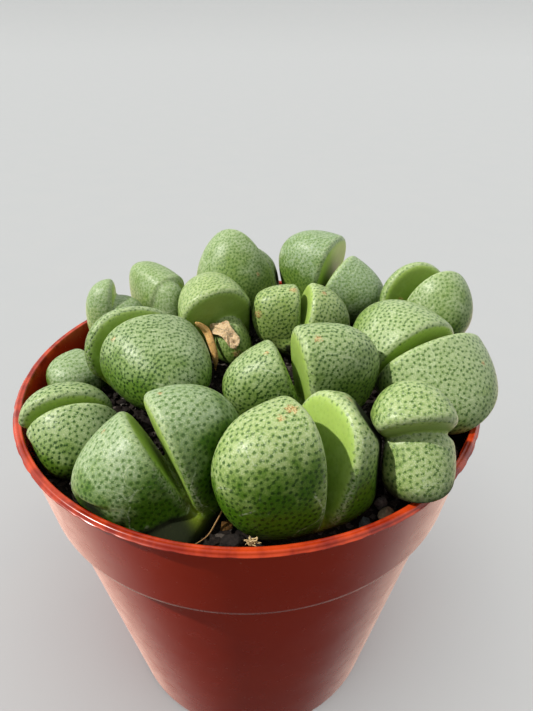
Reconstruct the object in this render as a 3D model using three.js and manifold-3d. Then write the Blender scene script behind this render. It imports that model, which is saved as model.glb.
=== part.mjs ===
// Potted split rock: a clump of split-rock leaf pairs in a small plastic nursery pot.
// Millimetres, +Z up. The origin is the centre of the pot's foot, and the front faces -Y.
import * as THREE from 'three';
import { mergeVertices } from 'three/addons/utils/BufferGeometryUtils.js';
import Module from 'manifold-3d';

const wasm = await Module();
wasm.setup();

// Pot
const LIP_RADIUS = 52.5; // outer edge of the lip
const LIP_WIDTH = 1.8;
const LIP_TOP = 94.2;
const LIP_EDGE = 93.5; // height of the lip's lower outer edge
const COLLAR_DROP = 20.2; // from the lip's edge down to the step under the collar
const COLLAR_RADIUS = 49.3; // outside, at the collar's lower edge
const BODY_RADIUS = 47.4; // outside, just below the step
const STEP_DROP = 0.9;
const FOOT_RADIUS = 36.8;
const FOOT_CURVE = 1.6;
const WALL = 0.9;
const FLOOR = 1.3;
const LIP_ROUND = 0.3; // the lip's softened edges
const LIP_UNDERCUT = 0.4;
const POT_SIDES = 56;
const DRAIN_HOLES = 6;
const DRAIN_RADIUS = 3.5;
const DRAIN_CIRCLE = 23;

// Soil
const SOIL_GAP = 0.4; // from the soil to the pot's inner wall and floor
const SOIL_DROP = 4.6; // the soil's top, below the lip's edge
const SOIL_RINGS = 6;
const SOIL_SIDES = 32;
const SOIL_RELIEF = 0.27; // height of each of the soil's low waves

// Leaves
const TOUCH_GAP = 0.32; // between leaves of different heads that press on each other
const CLEFT_EDGE = 1.7; // radius of the rim between a leaf's dome and its flat inner face
const CONTACT_EDGE = 0.7; // radius where a leaf is pressed flat
const HOLE_GAP = 0.45; // between a head and the hole that it stands in
const LIP_GAP = 0.8; // between a leaf and the pot's lip
const LIP_SLOPE = 1.6; // how flat a leaf may lean out over the lip, run over rise
const LEAF_SEGMENTS = 16;
const LEAF_RINGS = 8;
const RIM_RING = 5; // ring of the leaf's net that lies just outside its rim
const RIM_SPREAD = 7; // degrees between the rim and the rings on either side of it
const CENTRE_DEPTH = 0.42; // where the net's centre lies, as a share of the thickness
const EGG_LIMIT = 1.3; // a leaf narrows no further than this share of its half height
const REACH_MOST = 2.4; // furthest that a leaf's surface is looked for, as a share of its size
const REACH_STEPS = 18;

// Foot and stem of a head
const FOOT_THICK = 0.62; // half the foot's thickness, as a share of the leaves' thickness
const FOOT_SHIFT = 0.2; // towards the thicker leaf, as a share of the difference
const FOOT_TOP = 0.3; // above the bottom of the cleft
const FOOT_CENTRE = 0.35; // below the bottom of the cleft, as a share of the foot's depth
const FOOT_SEGMENTS = 10;
const FOOT_RINGS = 7;
const STEM_DEPTH = 9; // the stem's end, below the soil's top
const STEM_START = 0.5; // the stem's start below the cleft, as a share of the foot's depth
const STEM_TOP = 0.62; // radius at the top, as a share of the foot's depth
const STEM_TIP = 1.6;
const STEM_SIDES = 10;
const PIT_SIDES = 12;
const PIT_TOP = 2.2; // a head's pit clears all of it that is below this, above the soil's top
const PIT_MOST = 8;
const STEM_CIRCLE = 41; // no stem ends further out than this
const STEM_TOP_CIRCLE = 46.5; // nor starts further out than this

const deg = THREE.MathUtils.degToRad;

// Solids
function solidOf(geometry) {
  const bare = geometry.clone();
  bare.deleteAttribute('normal');
  bare.deleteAttribute('uv');
  const merged = mergeVertices(bare, 1e-4);
  const mesh = new wasm.Mesh({
    numProp: 3,
    vertProperties: new Float32Array(merged.attributes.position.array),
    triVerts: new Uint32Array(merged.index.array),
  });
  return new wasm.Manifold(mesh);
}

function geometryOf(solid) {
  const mesh = solid.getMesh();
  const geometry = new THREE.BufferGeometry();
  geometry.setAttribute('position', new THREE.BufferAttribute(new Float32Array(mesh.vertProperties), 3));
  geometry.setIndex(Array.from(mesh.triVerts));
  geometry.computeVertexNormals();
  return geometry;
}

function turned(points) {
  const geometry = new THREE.LatheGeometry(points, POT_SIDES);
  geometry.rotateX(Math.PI / 2);
  return geometry;
}

// Pot: one thin wall from the floor to the lip, turned about the pot's axis
const collarFoot = LIP_EDGE - COLLAR_DROP;
const collarTop = LIP_RADIUS - LIP_WIDTH + WALL;

function innerRadius(z) {
  const stepTop = collarFoot + WALL;
  if (z >= stepTop) {
    const share = (z - stepTop) / (LIP_TOP - stepTop);
    return COLLAR_RADIUS - WALL + share * (collarTop - COLLAR_RADIUS);
  }
  const share = z / (collarFoot - STEP_DROP);
  return FOOT_RADIUS - WALL + share * (BODY_RADIUS - FOOT_RADIUS);
}

function potSolid() {
  const at = (r, z) => new THREE.Vector2(r, z);
  const profile = [at(0, 0), at(FOOT_RADIUS - FOOT_CURVE, 0)];
  for (const turn of [30, 60, 90]) {
    const r = FOOT_RADIUS - FOOT_CURVE * (1 - Math.sin(deg(turn)));
    profile.push(at(r, FOOT_CURVE * (1 - Math.cos(deg(turn)))));
  }
  profile.push(at(BODY_RADIUS, collarFoot - STEP_DROP));
  profile.push(at(COLLAR_RADIUS, collarFoot));
  profile.push(at(collarTop, LIP_EDGE - LIP_UNDERCUT));
  profile.push(at(LIP_RADIUS, LIP_EDGE));
  profile.push(at(LIP_RADIUS, LIP_TOP - LIP_ROUND));
  profile.push(at(LIP_RADIUS - LIP_ROUND, LIP_TOP));
  profile.push(at(innerRadius(LIP_TOP) + LIP_ROUND, LIP_TOP));
  profile.push(at(innerRadius(LIP_TOP - LIP_ROUND), LIP_TOP - LIP_ROUND));
  profile.push(at(innerRadius(collarFoot + WALL), collarFoot + WALL));
  profile.push(at(innerRadius(collarFoot - STEP_DROP), collarFoot - STEP_DROP));
  profile.push(at(innerRadius(FLOOR + FOOT_CURVE), FLOOR + FOOT_CURVE));
  profile.push(at(innerRadius(FLOOR) - FOOT_CURVE, FLOOR));
  profile.push(at(0, FLOOR));
  let pot = solidOf(turned(profile));
  for (let i = 0; i < DRAIN_HOLES; i += 1) {
    const hole = new THREE.CylinderGeometry(DRAIN_RADIUS, DRAIN_RADIUS, 4 * FLOOR, 14);
    const angle = (2 * Math.PI * i) / DRAIN_HOLES;
    hole.rotateX(Math.PI / 2);
    hole.translate(DRAIN_CIRCLE * Math.cos(angle), DRAIN_CIRCLE * Math.sin(angle), 0);
    pot = pot.subtract(solidOf(hole));
  }
  return pot;
}

// Heads: each is a pair of leaves grown together at the foot, with a cleft between them.
// at: the bottom of the cleft, from the pot's axis and from the lip's edge.
// turn: direction of the cleft. roll, pitch: lean across and along the cleft.
// foot: how deep the joined foot goes below the cleft. full: 2 is round, more is boxier.
// Each leaf: width, thickness, height, how far it opens, slide and tip along the cleft,
// and egg, which narrows its top.
// rest: the side of the leaf that lies on the lip, where round the pot, how its underside
// leans, and the gap under it. swelling: a foot that swells out, its middle and its reach.
const HEADS = [
  {
    name: 'head_front', at: [9.7, -38, -2.8], turn: 114, roll: 8, pitch: -3, foot: 5, full: 2.4,
    left: [17.6, 16.8, 21.5, 8, -0.6, 10, -0.1], right: [20.2, 14.8, 20.8, 10, 0.8, 6, 0],
  },
  {
    name: 'head_front_left', at: [-12.5, -35.5, -2.5], turn: 114, roll: -12, pitch: 8, foot: 6.5, full: 2.1,
    left: [21.4, 16, 18.4, 11, 2.4, 15, -0.2], right: [19.2, 14.4, 20.4, 0, -0.8, 9, -0.15],
    swelling: [-2.5, 4, 9.4, 10.5, 5],
  },
  {
    name: 'head_left', at: [-37, -18.5, -1.5], turn: 24, roll: 4, pitch: 9, foot: 5, full: 2.1,
    left: [19, 8.5, 10.5, -8, -1, 0, 0], right: [19, 12.5, 10.5, 16, 0, 3, 0.1],
  },
  {
    name: 'head_left_middle', at: [-26, -2, 0], turn: 32, roll: 3, pitch: 16, foot: 3.5, full: 2.1,
    left: [25, 10.5, 17, 13, -0.5, 4, 0], right: [24, 20, 18, 3, 1, 0, -0.1],
  },
  {
    name: 'head_left_edge', at: [-40, 5, -5.5], turn: 130, roll: 10, pitch: 0, foot: 4.5, full: 2.4,
    left: [14.5, 10.5, 9, 2, -1, -6, -0.1], right: [10, 8, 8, 0, 0, 8, 0],
  },
  {
    name: 'head_front_right', at: [29.4, -32.6, 5.6], turn: 2, roll: 28, pitch: -3, foot: 5.5, full: 2.1,
    left: [15, 9.2, 12.9, -6, -0.5, -2, -0.3], right: [15.2, 12.9, 7.8, 6, 0, 4, 0.1],
    rest: [-1, -56, 12, 0.45],
  },
  {
    name: 'head_right', at: [37, -5, 1.5], turn: 27, roll: 12, pitch: 2, foot: 5, full: 2,
    left: [24, 18, 16.5, -5, 0, -10, 0.1], right: [28, 18.8, 16.8, 14, 0, 1, -0.2],
    rest: [-1, -12, 30, 0.9],
  },
  {
    name: 'head_centre', at: [11, -14, 0], turn: 100, roll: -9, pitch: 6, foot: 5.5, full: 2.3,
    left: [15.5, 14, 16.5, 9, 0.5, 10, -0.2], right: [16, 17, 20.5, 2, -1, -11, -0.1],
  },
  {
    name: 'head_middle', at: [12.5, 14, 1.5], turn: 92, roll: 7, pitch: 6, foot: 5.5, full: 2.4,
    left: [12.5, 12, 13.5, 3, 0.5, 8, -0.2], right: [18, 13, 14.5, 6, 0.5, 0, 0.1],
  },
  {
    name: 'head_back', at: [-2, 39.5, -0.5], turn: 152, roll: 6, pitch: 3, foot: 6.5, full: 2.1,
    left: [24, 12.5, 22, 1, 0.5, 5, 0.2], right: [23, 9.5, 17, -2, 1, -16, 0],
  },
  {
    name: 'head_with_dry_flower', at: [-5.5, 15, -1], turn: 16, roll: 9, pitch: -10, foot: 4.5, full: 2.2,
    left: [19, 16, 18, -4, 0.5, -11, -0.1], right: [10, 9.5, 9.5, 0, 1, -4, 0.1],
  },
  {
    name: 'head_back_left', at: [-36, 21.5, -0.5], turn: 97, roll: -6, pitch: 10, foot: 6, full: 2.4,
    left: [12, 7.5, 14.5, -12, 0, -2, -0.1], right: [13, 8, 10, 7, -0.5, 4, -0.2],
  },
  {
    name: 'head_back_left_inner', at: [-24.5, 27.5, -1.5], turn: 45, roll: 5, pitch: 2, foot: 5.5, full: 2.5,
    left: [11, 15, 14.5, -10, 0.5, 10, -0.3], right: [10, 9, 13.5, -5, 2, -6, 0.1],
  },
  {
    name: 'head_back_right_inner', at: [22.5, 36, 1], turn: 56, roll: 8, pitch: -4, foot: 5, full: 2.4,
    left: [18.5, 16.5, 19.5, -2, 0, 8, -0.1], right: [16, 16, 17, 14, 1, -11, -0.1],
  },
  {
    name: 'head_back_right', at: [46, 18, 4.5], turn: 12, roll: -5, pitch: -11, foot: 4, full: 2,
    left: [19.5, 9, 15, 2, -2, 13, 0.1], right: [18, 12.5, 16, 19, 1.5, 11, 0.1],
  },
];

const SIDES = [1, -1];

// Stones, crumbs and dry scraps: at is from the pot's axis and the lip's edge, size is across,
// back and up, and rough is how uneven it is
const LUMPS = {
  pebble_grey: {
    at: [23.8, -38.5, -3.8], size: [2.4, 2.1, 3], turn: 20, lean: 0, rough: 0.2, seed: 1.2, sides: 9,
  },
  pebble_tan: {
    at: [24.3, -41.5, -3.5], size: [3.8, 2.9, 2.8], turn: 35, lean: -12, rough: 0.15, seed: 2.3, sides: 10,
  },
  pebble_slate: {
    at: [20, -43.1, -3.9], size: [3, 2.5, 2.6], turn: 60, lean: 0, rough: 0.15, seed: 0.4, sides: 9,
  },
  soil_clod: {
    at: [-3.4, -46.6, -3.6], size: [5.2, 3.2, 2.8], turn: 6, lean: 8, rough: 0.35, seed: 3.7, sides: 11,
  },
  leaf_scrap: {
    at: [-4.4, -42.6, -3.85], size: [3, 2.2, 0.7], turn: 40, lean: 24, rough: 0.25, seed: 4.1, sides: 8,
  },
};
const LUMP_BED = 0.42; // gap between a lump and its bed in the soil

// A dry curled tuft by the lip: twigs crossing at one point, as turn, lean and length
const TUFT_AT = [0, -49.4, 0.4];
const TUFT_TWIGS = [[15, 40, 1.9], [80, -20, 1.6], [140, 65, 1.8], [200, 10, 1.4]];
const TWIG_RADIUS = 0.26;

// Dry strips, as points from the pot's axis and the lip's edge
const FIBRE_PATH = [[-4.85, -41.4, -0.9], [-6.2, -43.4, -2.3], [-7.6, -45.2, -3.4], [-10, -46.6, -4.1]];
const FIBRE_RADIUS = 0.2;
const SHEATH_PATH = [
  [-13, 9.1, 8.6], [-11.4, 9.6, 7.1], [-10.3, 9.5, 5.6], [-9.4, 8.1, 3.8], [-8.7, 6.9, 1.8], [-8.4, 6.4, -0.4],
  [-8.4, 6.6, -2.6], [-8.5, 7.2, -4.7],
];
const SHEATH_WIDE = 1.5;
const SHEATH_THICK = 0.4;

// The papery dry flower lies over the small front leaf of its head
const FLOWER_MIDDLE = [-5.2, 8.3, 5.9];
const FLOWER_EDGE = [
  [-9, 11, 5], [-8.6, 10.4, 4.2], [-6.7, 8.2, 4.9], [-5.9, 7.4, 4.7], [-5.1, 6.7, 4], [-4.3, 6.1, 3.1],
  [-3.4, 6, 3], [-2.8, 6.2, 3.3], [-2.4, 7.2, 4.5], [-3.1, 7.8, 5.6], [-4.3, 8.9, 6.7], [-4.9, 10.1, 7.4],
  [-6.7, 10.2, 7.1], [-8.6, 11.2, 5.8],
];
const FLOWER_GAP = 0.5;
const FLOWER_THICK = 0.5;
const FLOWER_RISE = 0.9; // how far its middle stands up

function headTurn(head) {
  const turn = new THREE.Matrix4().makeRotationZ(deg(head.turn));
  turn.multiply(new THREE.Matrix4().makeRotationY(deg(head.pitch)));
  turn.multiply(new THREE.Matrix4().makeRotationX(deg(head.roll)));
  const [x, y, z] = head.at;
  turn.setPosition(x, y, z + LIP_EDGE);
  return turn;
}

// The plane that a leaf lying on the lip rests on
function lipPlane(turn, lean, gap) {
  const out = new THREE.Vector3(Math.cos(deg(turn)), Math.sin(deg(turn)), 0);
  const edge = out.clone().multiplyScalar(innerRadius(LIP_TOP)).setZ(LIP_TOP);
  const normal = out.multiplyScalar(Math.sin(deg(lean))).setZ(-Math.cos(deg(lean)));
  return { normal, reach: edge.dot(normal) - gap };
}

// The leaf's own space: x along the cleft, y out from the flat face, z up from the cleft's bottom
function makeLeaf(head, side) {
  const [wide, thick, tall, open, slide, tip, egg] = side > 0 ? head.left : head.right;
  const place = headTurn(head);
  place.multiply(new THREE.Matrix4().makeScale(1, side, 1));
  place.multiply(new THREE.Matrix4().makeRotationX(deg(-open)));
  place.multiply(new THREE.Matrix4().makeRotationY(deg(tip)));
  const middle = new THREE.Vector3(slide, 0, (tall - head.foot) / 2);
  const centre = new THREE.Vector3(slide, CENTRE_DEPTH * thick, middle.z);
  const half = new THREE.Vector3(wide / 2, thick, (tall + head.foot) / 2);
  return {
    head,
    side,
    place,
    middle,
    centre,
    half,
    egg,
    full: head.full,
    planes: [],
    worldCentre: centre.clone().applyMatrix4(place),
    form: (leaf, p) => roundedMost([domeForm(leaf, p), -p.y], CLEFT_EDGE),
    lip: head.rest && head.rest[0] === side ? lipPlane(...head.rest.slice(1)) : null,
  };
}

// How far outside a leaf's dome a point is: below zero inside
function domeForm(leaf, p) {
  const x = Math.abs(p.x - leaf.middle.x);
  const up = (p.z - leaf.middle.z) / leaf.half.z;
  const narrow = 1 - leaf.egg * THREE.MathUtils.clamp(up, -EGG_LIMIT, EGG_LIMIT);
  const sum = (x / (leaf.half.x * narrow)) ** leaf.full
    + (Math.abs(p.y) / (leaf.half.y * narrow)) ** leaf.full + Math.abs(up) ** leaf.full;
  return (sum ** (1 / leaf.full) - 1) * Math.min(leaf.half.x, leaf.half.y, leaf.half.z);
}

// The foot that joins the two leaves under the cleft, in the head's own space
function makeFoot(head, leaves) {
  const [wide, thick, tall, , slide, , egg] = head.left.map((value, k) => (value + head.right[k]) / 2);
  const shift = FOOT_SHIFT * (head.left[1] - head.right[1]);
  const place = headTurn(head);
  const centre = new THREE.Vector3(slide, shift, -FOOT_CENTRE * head.foot);
  let middle = new THREE.Vector3(slide, shift, (tall - head.foot) / 2);
  let half = new THREE.Vector3(wide / 2, FOOT_THICK * thick, (tall + head.foot) / 2);
  if (head.swelling) {
    const [along, across, ...reach] = head.swelling;
    half = new THREE.Vector3(...reach);
    middle = new THREE.Vector3(along, across, FOOT_TOP - half.z);
    centre.copy(middle);
  }
  return {
    head,
    side: 1,
    place,
    middle,
    centre,
    half,
    egg: head.swelling ? 0 : egg,
    full: head.full,
    planes: leaves.flatMap((leaf) => leaf.planes),
    worldCentre: centre.clone().applyMatrix4(place),
    form: (foot, p) => roundedMost([domeForm(foot, p), p.z - FOOT_TOP], CLEFT_EDGE),
  };
}

// The greater of several values, with its corners rounded to a radius
function roundedMost(values, radius) {
  let sum = 0;
  for (const value of values) sum += Math.max(0, value + radius) ** 2;
  return Math.sqrt(sum) - radius;
}

// How far a point is past the pot's inner wall, or past the lip that a leaf leans out over
function wallForm(p) {
  const r = Math.hypot(p.x, p.y);
  const over = p.z - LIP_TOP - LIP_GAP;
  const edge = innerRadius(LIP_TOP) - LIP_GAP;
  if (over > 0) return (r - edge - LIP_SLOPE * over) / Math.hypot(1, LIP_SLOPE);
  return r - innerRadius(Math.min(p.z, LIP_TOP)) + LIP_GAP;
}

const probe = new THREE.Vector3();
const world = new THREE.Vector3();

function reachOf(body, direction, grow) {
  let low = 0;
  let high = REACH_MOST * Math.max(body.half.x, body.half.y, body.half.z);
  for (let i = 0; i < REACH_STEPS; i += 1) {
    const reach = (low + high) / 2;
    probe.copy(direction).multiplyScalar(reach).add(body.centre);
    world.copy(probe).applyMatrix4(body.place);
    const values = [body.form(body, probe)];
    if (!body.lip) values.push(wallForm(world));
    const planes = body.lip ? [body.lip, ...body.planes] : body.planes;
    for (const plane of planes) values.push(plane.normal.dot(world) - plane.reach);
    if (roundedMost(values, CONTACT_EDGE) < grow) low = reach;
    else high = reach;
  }
  return low;
}

// Directions of a leaf's net: rings about its outward axis, two of which hug the rim
function leafDirection(leaf, ray, target) {
  const polar = Math.acos(THREE.MathUtils.clamp(ray.y, -1, 1));
  const around = Math.atan2(ray.z, ray.x);
  const rimX = Math.abs(Math.cos(around) / leaf.half.x) ** leaf.full;
  const rimZ = Math.abs(Math.sin(around) / leaf.half.z) ** leaf.full;
  const rimRadius = (rimX + rimZ) ** (-1 / leaf.full);
  const rim = Math.atan2(rimRadius, -CENTRE_DEPTH * leaf.half.y);
  const spread = deg(RIM_SPREAD);
  const ring = (polar / Math.PI) * LEAF_RINGS;
  let angle;
  if (ring <= RIM_RING) angle = (ring / RIM_RING) * (rim - spread);
  else if (ring <= RIM_RING + 1) angle = rim - spread + (ring - RIM_RING) * 2 * spread;
  else {
    const share = (ring - RIM_RING - 1) / (LEAF_RINGS - RIM_RING - 1);
    angle = rim + spread + share * (Math.PI - rim - spread);
  }
  return target.set(Math.sin(angle) * Math.cos(around), Math.cos(angle), Math.sin(angle) * Math.sin(around));
}

const straight = (body, ray, target) => target.copy(ray);

// A closed net over a body, pushed out to the body's surface along rays from its centre
function netOver(body, segments, rings, direct, grow) {
  const net = new THREE.SphereGeometry(1, segments, rings);
  net.deleteAttribute('normal');
  net.deleteAttribute('uv');
  const geometry = mergeVertices(net, 1e-5);
  const position = geometry.attributes.position;
  const ray = new THREE.Vector3();
  const direction = new THREE.Vector3();
  for (let i = 0; i < position.count; i += 1) {
    direct(body, ray.fromBufferAttribute(position, i), direction);
    const reach = reachOf(body, direction, grow);
    ray.copy(direction).multiplyScalar(reach).add(body.centre).applyMatrix4(body.place);
    position.setXYZ(i, ray.x, ray.y, ray.z);
  }
  if (body.side < 0) {
    const index = geometry.index.array;
    for (let i = 0; i < index.length; i += 3) [index[i], index[i + 1]] = [index[i + 1], index[i]];
  }
  return geometry;
}

const leafNet = (leaf, grow) => netOver(leaf, LEAF_SEGMENTS, LEAF_RINGS, leafDirection, grow);

function reachAlong(points, centre, direction) {
  const point = new THREE.Vector3();
  let most = 0;
  for (let i = 0; i < points.count; i += 1) {
    most = Math.max(most, point.fromBufferAttribute(points, i).sub(centre).dot(direction));
  }
  return most;
}

// Leaves of different heads that reach each other are pressed flat on one plane between them
function pressTogether(leaves) {
  const loose = leaves.map((leaf) => leafNet(leaf, 0).attributes.position);
  leaves.forEach((one, i) => {
    leaves.slice(i + 1).forEach((other, k) => {
      if (one.head === other.head) return;
      const normal = other.worldCentre.clone().sub(one.worldCentre);
      const apart = normal.length();
      normal.normalize();
      const back = normal.clone().negate();
      const reachOne = reachAlong(loose[i], one.worldCentre, normal);
      const reachOther = reachAlong(loose[i + 1 + k], other.worldCentre, back);
      if (reachOne + reachOther + TOUCH_GAP <= apart) return;
      const share = reachOne / (reachOne + reachOther);
      const middle = one.worldCentre.dot(normal) + apart * share;
      one.planes.push({ normal, reach: middle - TOUCH_GAP / 2 });
      other.planes.push({ normal: back, reach: -middle - TOUCH_GAP / 2 });
    });
  });
}

// The short stem under the foot, slanted inward where a head leans out over the wall
const soilTop = LIP_EDGE - SOIL_DROP;

function stemGeometry(head, grow) {
  const [x, y, z] = head.at;
  const inward = (circle) => Math.min(1, circle / Math.hypot(x, y));
  const top = new THREE.Vector3(x, y, 0).multiplyScalar(inward(STEM_TOP_CIRCLE));
  top.z = z + LIP_EDGE - STEM_START * head.foot;
  const tip = new THREE.Vector3(x, y, 0).multiplyScalar(inward(STEM_CIRCLE));
  tip.z = soilTop - STEM_DEPTH - grow;
  const axis = top.clone().sub(tip);
  const topRadius = STEM_TOP * head.foot + grow;
  const stem = new THREE.CylinderGeometry(topRadius, STEM_TIP + grow, axis.length(), STEM_SIDES);
  const lean = new THREE.Quaternion().setFromUnitVectors(new THREE.Vector3(0, 1, 0), axis.normalize());
  stem.applyQuaternion(lean);
  stem.translate((top.x + tip.x) / 2, (top.y + tip.y) / 2, (top.z + tip.z) / 2);
  return stem;
}

function headSolid(head, leaves) {
  let solid = solidOf(stemGeometry(head, 0));
  solid = solid.add(solidOf(netOver(makeFoot(head, leaves), FOOT_SEGMENTS, FOOT_RINGS, straight, 0)));
  for (const leaf of leaves) solid = solid.add(solidOf(leafNet(leaf, 0)));
  return solid;
}

// The plain hole that a head stands in: an oval pit round what lies below the soil's top,
// and a narrower hole for the stem under it
function holeSolid(head, solid) {
  const turn = headTurn(head);
  const along = new THREE.Vector3(1, 0, 0).transformDirection(turn).setZ(0).normalize();
  const across = new THREE.Vector3(-along.y, along.x, 0);
  const points = geometryOf(solid).attributes.position;
  const low = [];
  for (let i = 0; i < points.count; i += 1) {
    const point = new THREE.Vector3().fromBufferAttribute(points, i);
    if (point.z < soilTop + PIT_TOP && point.z > soilTop - PIT_MOST) low.push(point);
  }
  const stemHole = solidOf(stemGeometry(head, HOLE_GAP));
  if (!low.length) return stemHole;
  const span = (axis) => {
    const reach = low.map((point) => point.dot(axis));
    return [Math.min(...reach), Math.max(...reach)];
  };
  const [left, right] = span(along);
  const [front, back] = span(across);
  const middle = along.clone().multiplyScalar((left + right) / 2).addScaledVector(across, (front + back) / 2);
  const share = Math.max(...low.map((point) => {
    const from = point.clone().sub(middle);
    return Math.hypot(from.dot(along) / (right - left), from.dot(across) / (back - front)) * 2;
  }));
  const grown = share / Math.cos(Math.PI / PIT_SIDES);
  const bottom = Math.min(...low.map((point) => point.z)) - HOLE_GAP;
  const pit = new THREE.CylinderGeometry(1, 1, soilTop + PIT_TOP + 1 - bottom, PIT_SIDES);
  pit.rotateX(Math.PI / 2);
  pit.scale(grown * (right - left) / 2 + HOLE_GAP, grown * (back - front) / 2 + HOLE_GAP, 1);
  pit.applyMatrix4(new THREE.Matrix4().makeBasis(along, across, new THREE.Vector3(0, 0, 1)));
  pit.translate(middle.x, middle.y, (soilTop + PIT_TOP + 1 + bottom) / 2);
  return solidOf(pit).add(stemHole);
}

const leaves = HEADS.flatMap((head) => SIDES.map((side) => makeLeaf(head, side)));
pressTogether(leaves);
const leavesOf = (head) => leaves.filter((leaf) => leaf.head === head);

// Soil: fills the pot inside its wall, a little uneven on top
function soilHeight(x, y) {
  const waves = Math.sin(0.31 * x + 0.17 * y + 1.3) + Math.sin(0.23 * y - 0.29 * x + 0.4)
    + 0.6 * Math.sin(0.71 * x + 0.9) * Math.sin(0.63 * y + 2.1);
  return soilTop + SOIL_RELIEF * waves;
}

// Small stones, crumbs and dry scraps: a ball made uneven, flattened and turned
function lump(piece, grow = 0) {
  const [x, y, z] = piece.at;
  const [wide, deep, high] = piece.size;
  const ball = new THREE.SphereGeometry(1, piece.sides, piece.sides - 2);
  const position = ball.attributes.position;
  const point = new THREE.Vector3();
  for (let i = 0; i < position.count; i += 1) {
    point.fromBufferAttribute(position, i);
    const wave = Math.sin(3.1 * point.x + piece.seed) * Math.sin(2.7 * point.y + 2 * piece.seed)
      * Math.cos(3.3 * point.z + piece.seed);
    point.multiplyScalar(1 + piece.rough * wave);
    position.setXYZ(i, point.x, point.y, point.z);
  }
  ball.scale(wide / 2 + grow, deep / 2 + grow, high / 2 + grow);
  ball.rotateX(deg(piece.lean));
  ball.rotateZ(deg(piece.turn));
  ball.translate(x, y, z + LIP_EDGE);
  return ball;
}

function soilSolid() {
  const heights = [FLOOR + SOIL_GAP, collarFoot - STEP_DROP, collarFoot + WALL];
  const around = (ring, r, z) => {
    for (let k = 0; k < SOIL_SIDES; k += 1) {
      const angle = (2 * Math.PI * k) / SOIL_SIDES;
      const x = r * Math.cos(angle);
      const y = r * Math.sin(angle);
      ring.push(x, y, z(x, y));
    }
  };
  const flat = 1 / Math.cos(Math.PI / POT_SIDES);
  const clear = (z) => innerRadius(z) / flat - SOIL_GAP;
  const points = [0, 0, heights[0]];
  const footRadius = innerRadius(FLOOR) - FOOT_CURVE - SOIL_GAP;
  around(points, footRadius, () => heights[0]);
  around(points, clear(heights[0] + FOOT_CURVE), () => heights[0] + FOOT_CURVE);
  around(points, clear(heights[1]), () => heights[1]);
  around(points, clear(heights[2]), () => heights[2]);
  for (let ring = SOIL_RINGS; ring > 0; ring -= 1) {
    around(points, (clear(soilTop) * ring) / SOIL_RINGS, soilHeight);
  }
  points.push(0, 0, soilHeight(0, 0));
  const index = [];
  const rings = SOIL_RINGS + 4;
  const at = (ring, k) => 1 + ring * SOIL_SIDES + (k % SOIL_SIDES);
  const last = 1 + rings * SOIL_SIDES;
  for (let k = 0; k < SOIL_SIDES; k += 1) {
    index.push(0, at(0, k + 1), at(0, k));
    index.push(last, at(rings - 1, k), at(rings - 1, k + 1));
    for (let ring = 0; ring < rings - 1; ring += 1) {
      index.push(at(ring, k), at(ring, k + 1), at(ring + 1, k + 1));
      index.push(at(ring, k), at(ring + 1, k + 1), at(ring + 1, k));
    }
  }
  const geometry = new THREE.BufferGeometry();
  geometry.setAttribute('position', new THREE.Float32BufferAttribute(points, 3));
  geometry.setIndex(index);
  return solidOf(geometry);
}

const onPot = ([x, y, z]) => new THREE.Vector3(x, y, z + LIP_EDGE);

function tuftSolid() {
  let tuft = null;
  for (const [turn, lean, length] of TUFT_TWIGS) {
    const twig = new THREE.CylinderGeometry(TWIG_RADIUS / 2, TWIG_RADIUS, length, 6);
    twig.rotateX(deg(lean));
    twig.rotateZ(deg(turn));
    twig.translate(...onPot(TUFT_AT).toArray());
    const solid = solidOf(twig);
    tuft = tuft ? tuft.add(solid) : solid;
  }
  return tuft;
}

function stripSolid(path, wide, thick, steps) {
  const section = new THREE.Shape();
  section.absellipse(0, 0, wide / 2, thick / 2, 0, 2 * Math.PI);
  const extrudePath = new THREE.CatmullRomCurve3(path.map(onPot));
  return solidOf(new THREE.ExtrudeGeometry(section, { steps, curveSegments: 3, extrudePath }));
}

// A thin plate laid over a leaf: its rays from the leaf's centre pass through the edge points
function flowerSolid(leaf) {
  const toLeaf = leaf.place.clone().invert();
  const ray = (point) => point.clone().applyMatrix4(toLeaf).sub(leaf.centre).normalize();
  const middle = onPot(FLOWER_MIDDLE);
  const edge = FLOWER_EDGE.map(onPot);
  const inner = edge.map((point) => point.clone().lerp(middle, 0.5));
  const points = [];
  const level = (lift) => {
    const add = (point, rise) => {
      const direction = ray(point);
      const reach = reachOf(leaf, direction, FLOWER_GAP) + lift + rise;
      points.push(direction.multiplyScalar(reach).add(leaf.centre).applyMatrix4(leaf.place));
    };
    add(middle, FLOWER_RISE);
    inner.forEach((point, k) => add(point, (FLOWER_RISE * (k % 3)) / 3));
    edge.forEach((point, k) => add(point, (k % 2) * 0.2));
  };
  level(0);
  level(FLOWER_THICK);
  const count = edge.length;
  const index = [];
  for (let k = 0; k < count; k += 1) {
    const next = (k + 1) % count;
    const top = 1 + 2 * count;
    const ring = (base, near, far) => {
      const a = base + 1;
      const b = base + 1 + count;
      const faces = [[base, a + near, a + far], [a + near, b + near, b + far], [a + near, b + far, a + far]];
      index.push(...faces.flat());
    };
    ring(0, next, k);
    ring(top, k, next);
    const low = 1 + count;
    index.push(low + k, low + next, top + low + next, low + k, top + low + next, top + low + k);
  }
  const geometry = new THREE.BufferGeometry();
  geometry.setFromPoints(points);
  geometry.setIndex(index);
  return solidOf(geometry);
}

// The object
const MATERIALS = {
  pot: { color: '#8e2d14', roughness: 0.35 },
  soil: { color: '#1d1815', roughness: 0.95 },
  leaf: { color: '#7f9c62', roughness: 0.55 },
  pebble_grey: { color: '#4d4a49', roughness: 0.8 },
  pebble_tan: { color: '#71654c', roughness: 0.8 },
  pebble_slate: { color: '#38403f', roughness: 0.75 },
  soil_clod: { color: '#3f3a38', roughness: 0.95 },
  dry: { color: '#c39455', roughness: 0.8 },
  scrap: { color: '#4f3a1c', roughness: 0.85 },
};

const model = new THREE.Group();

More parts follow.
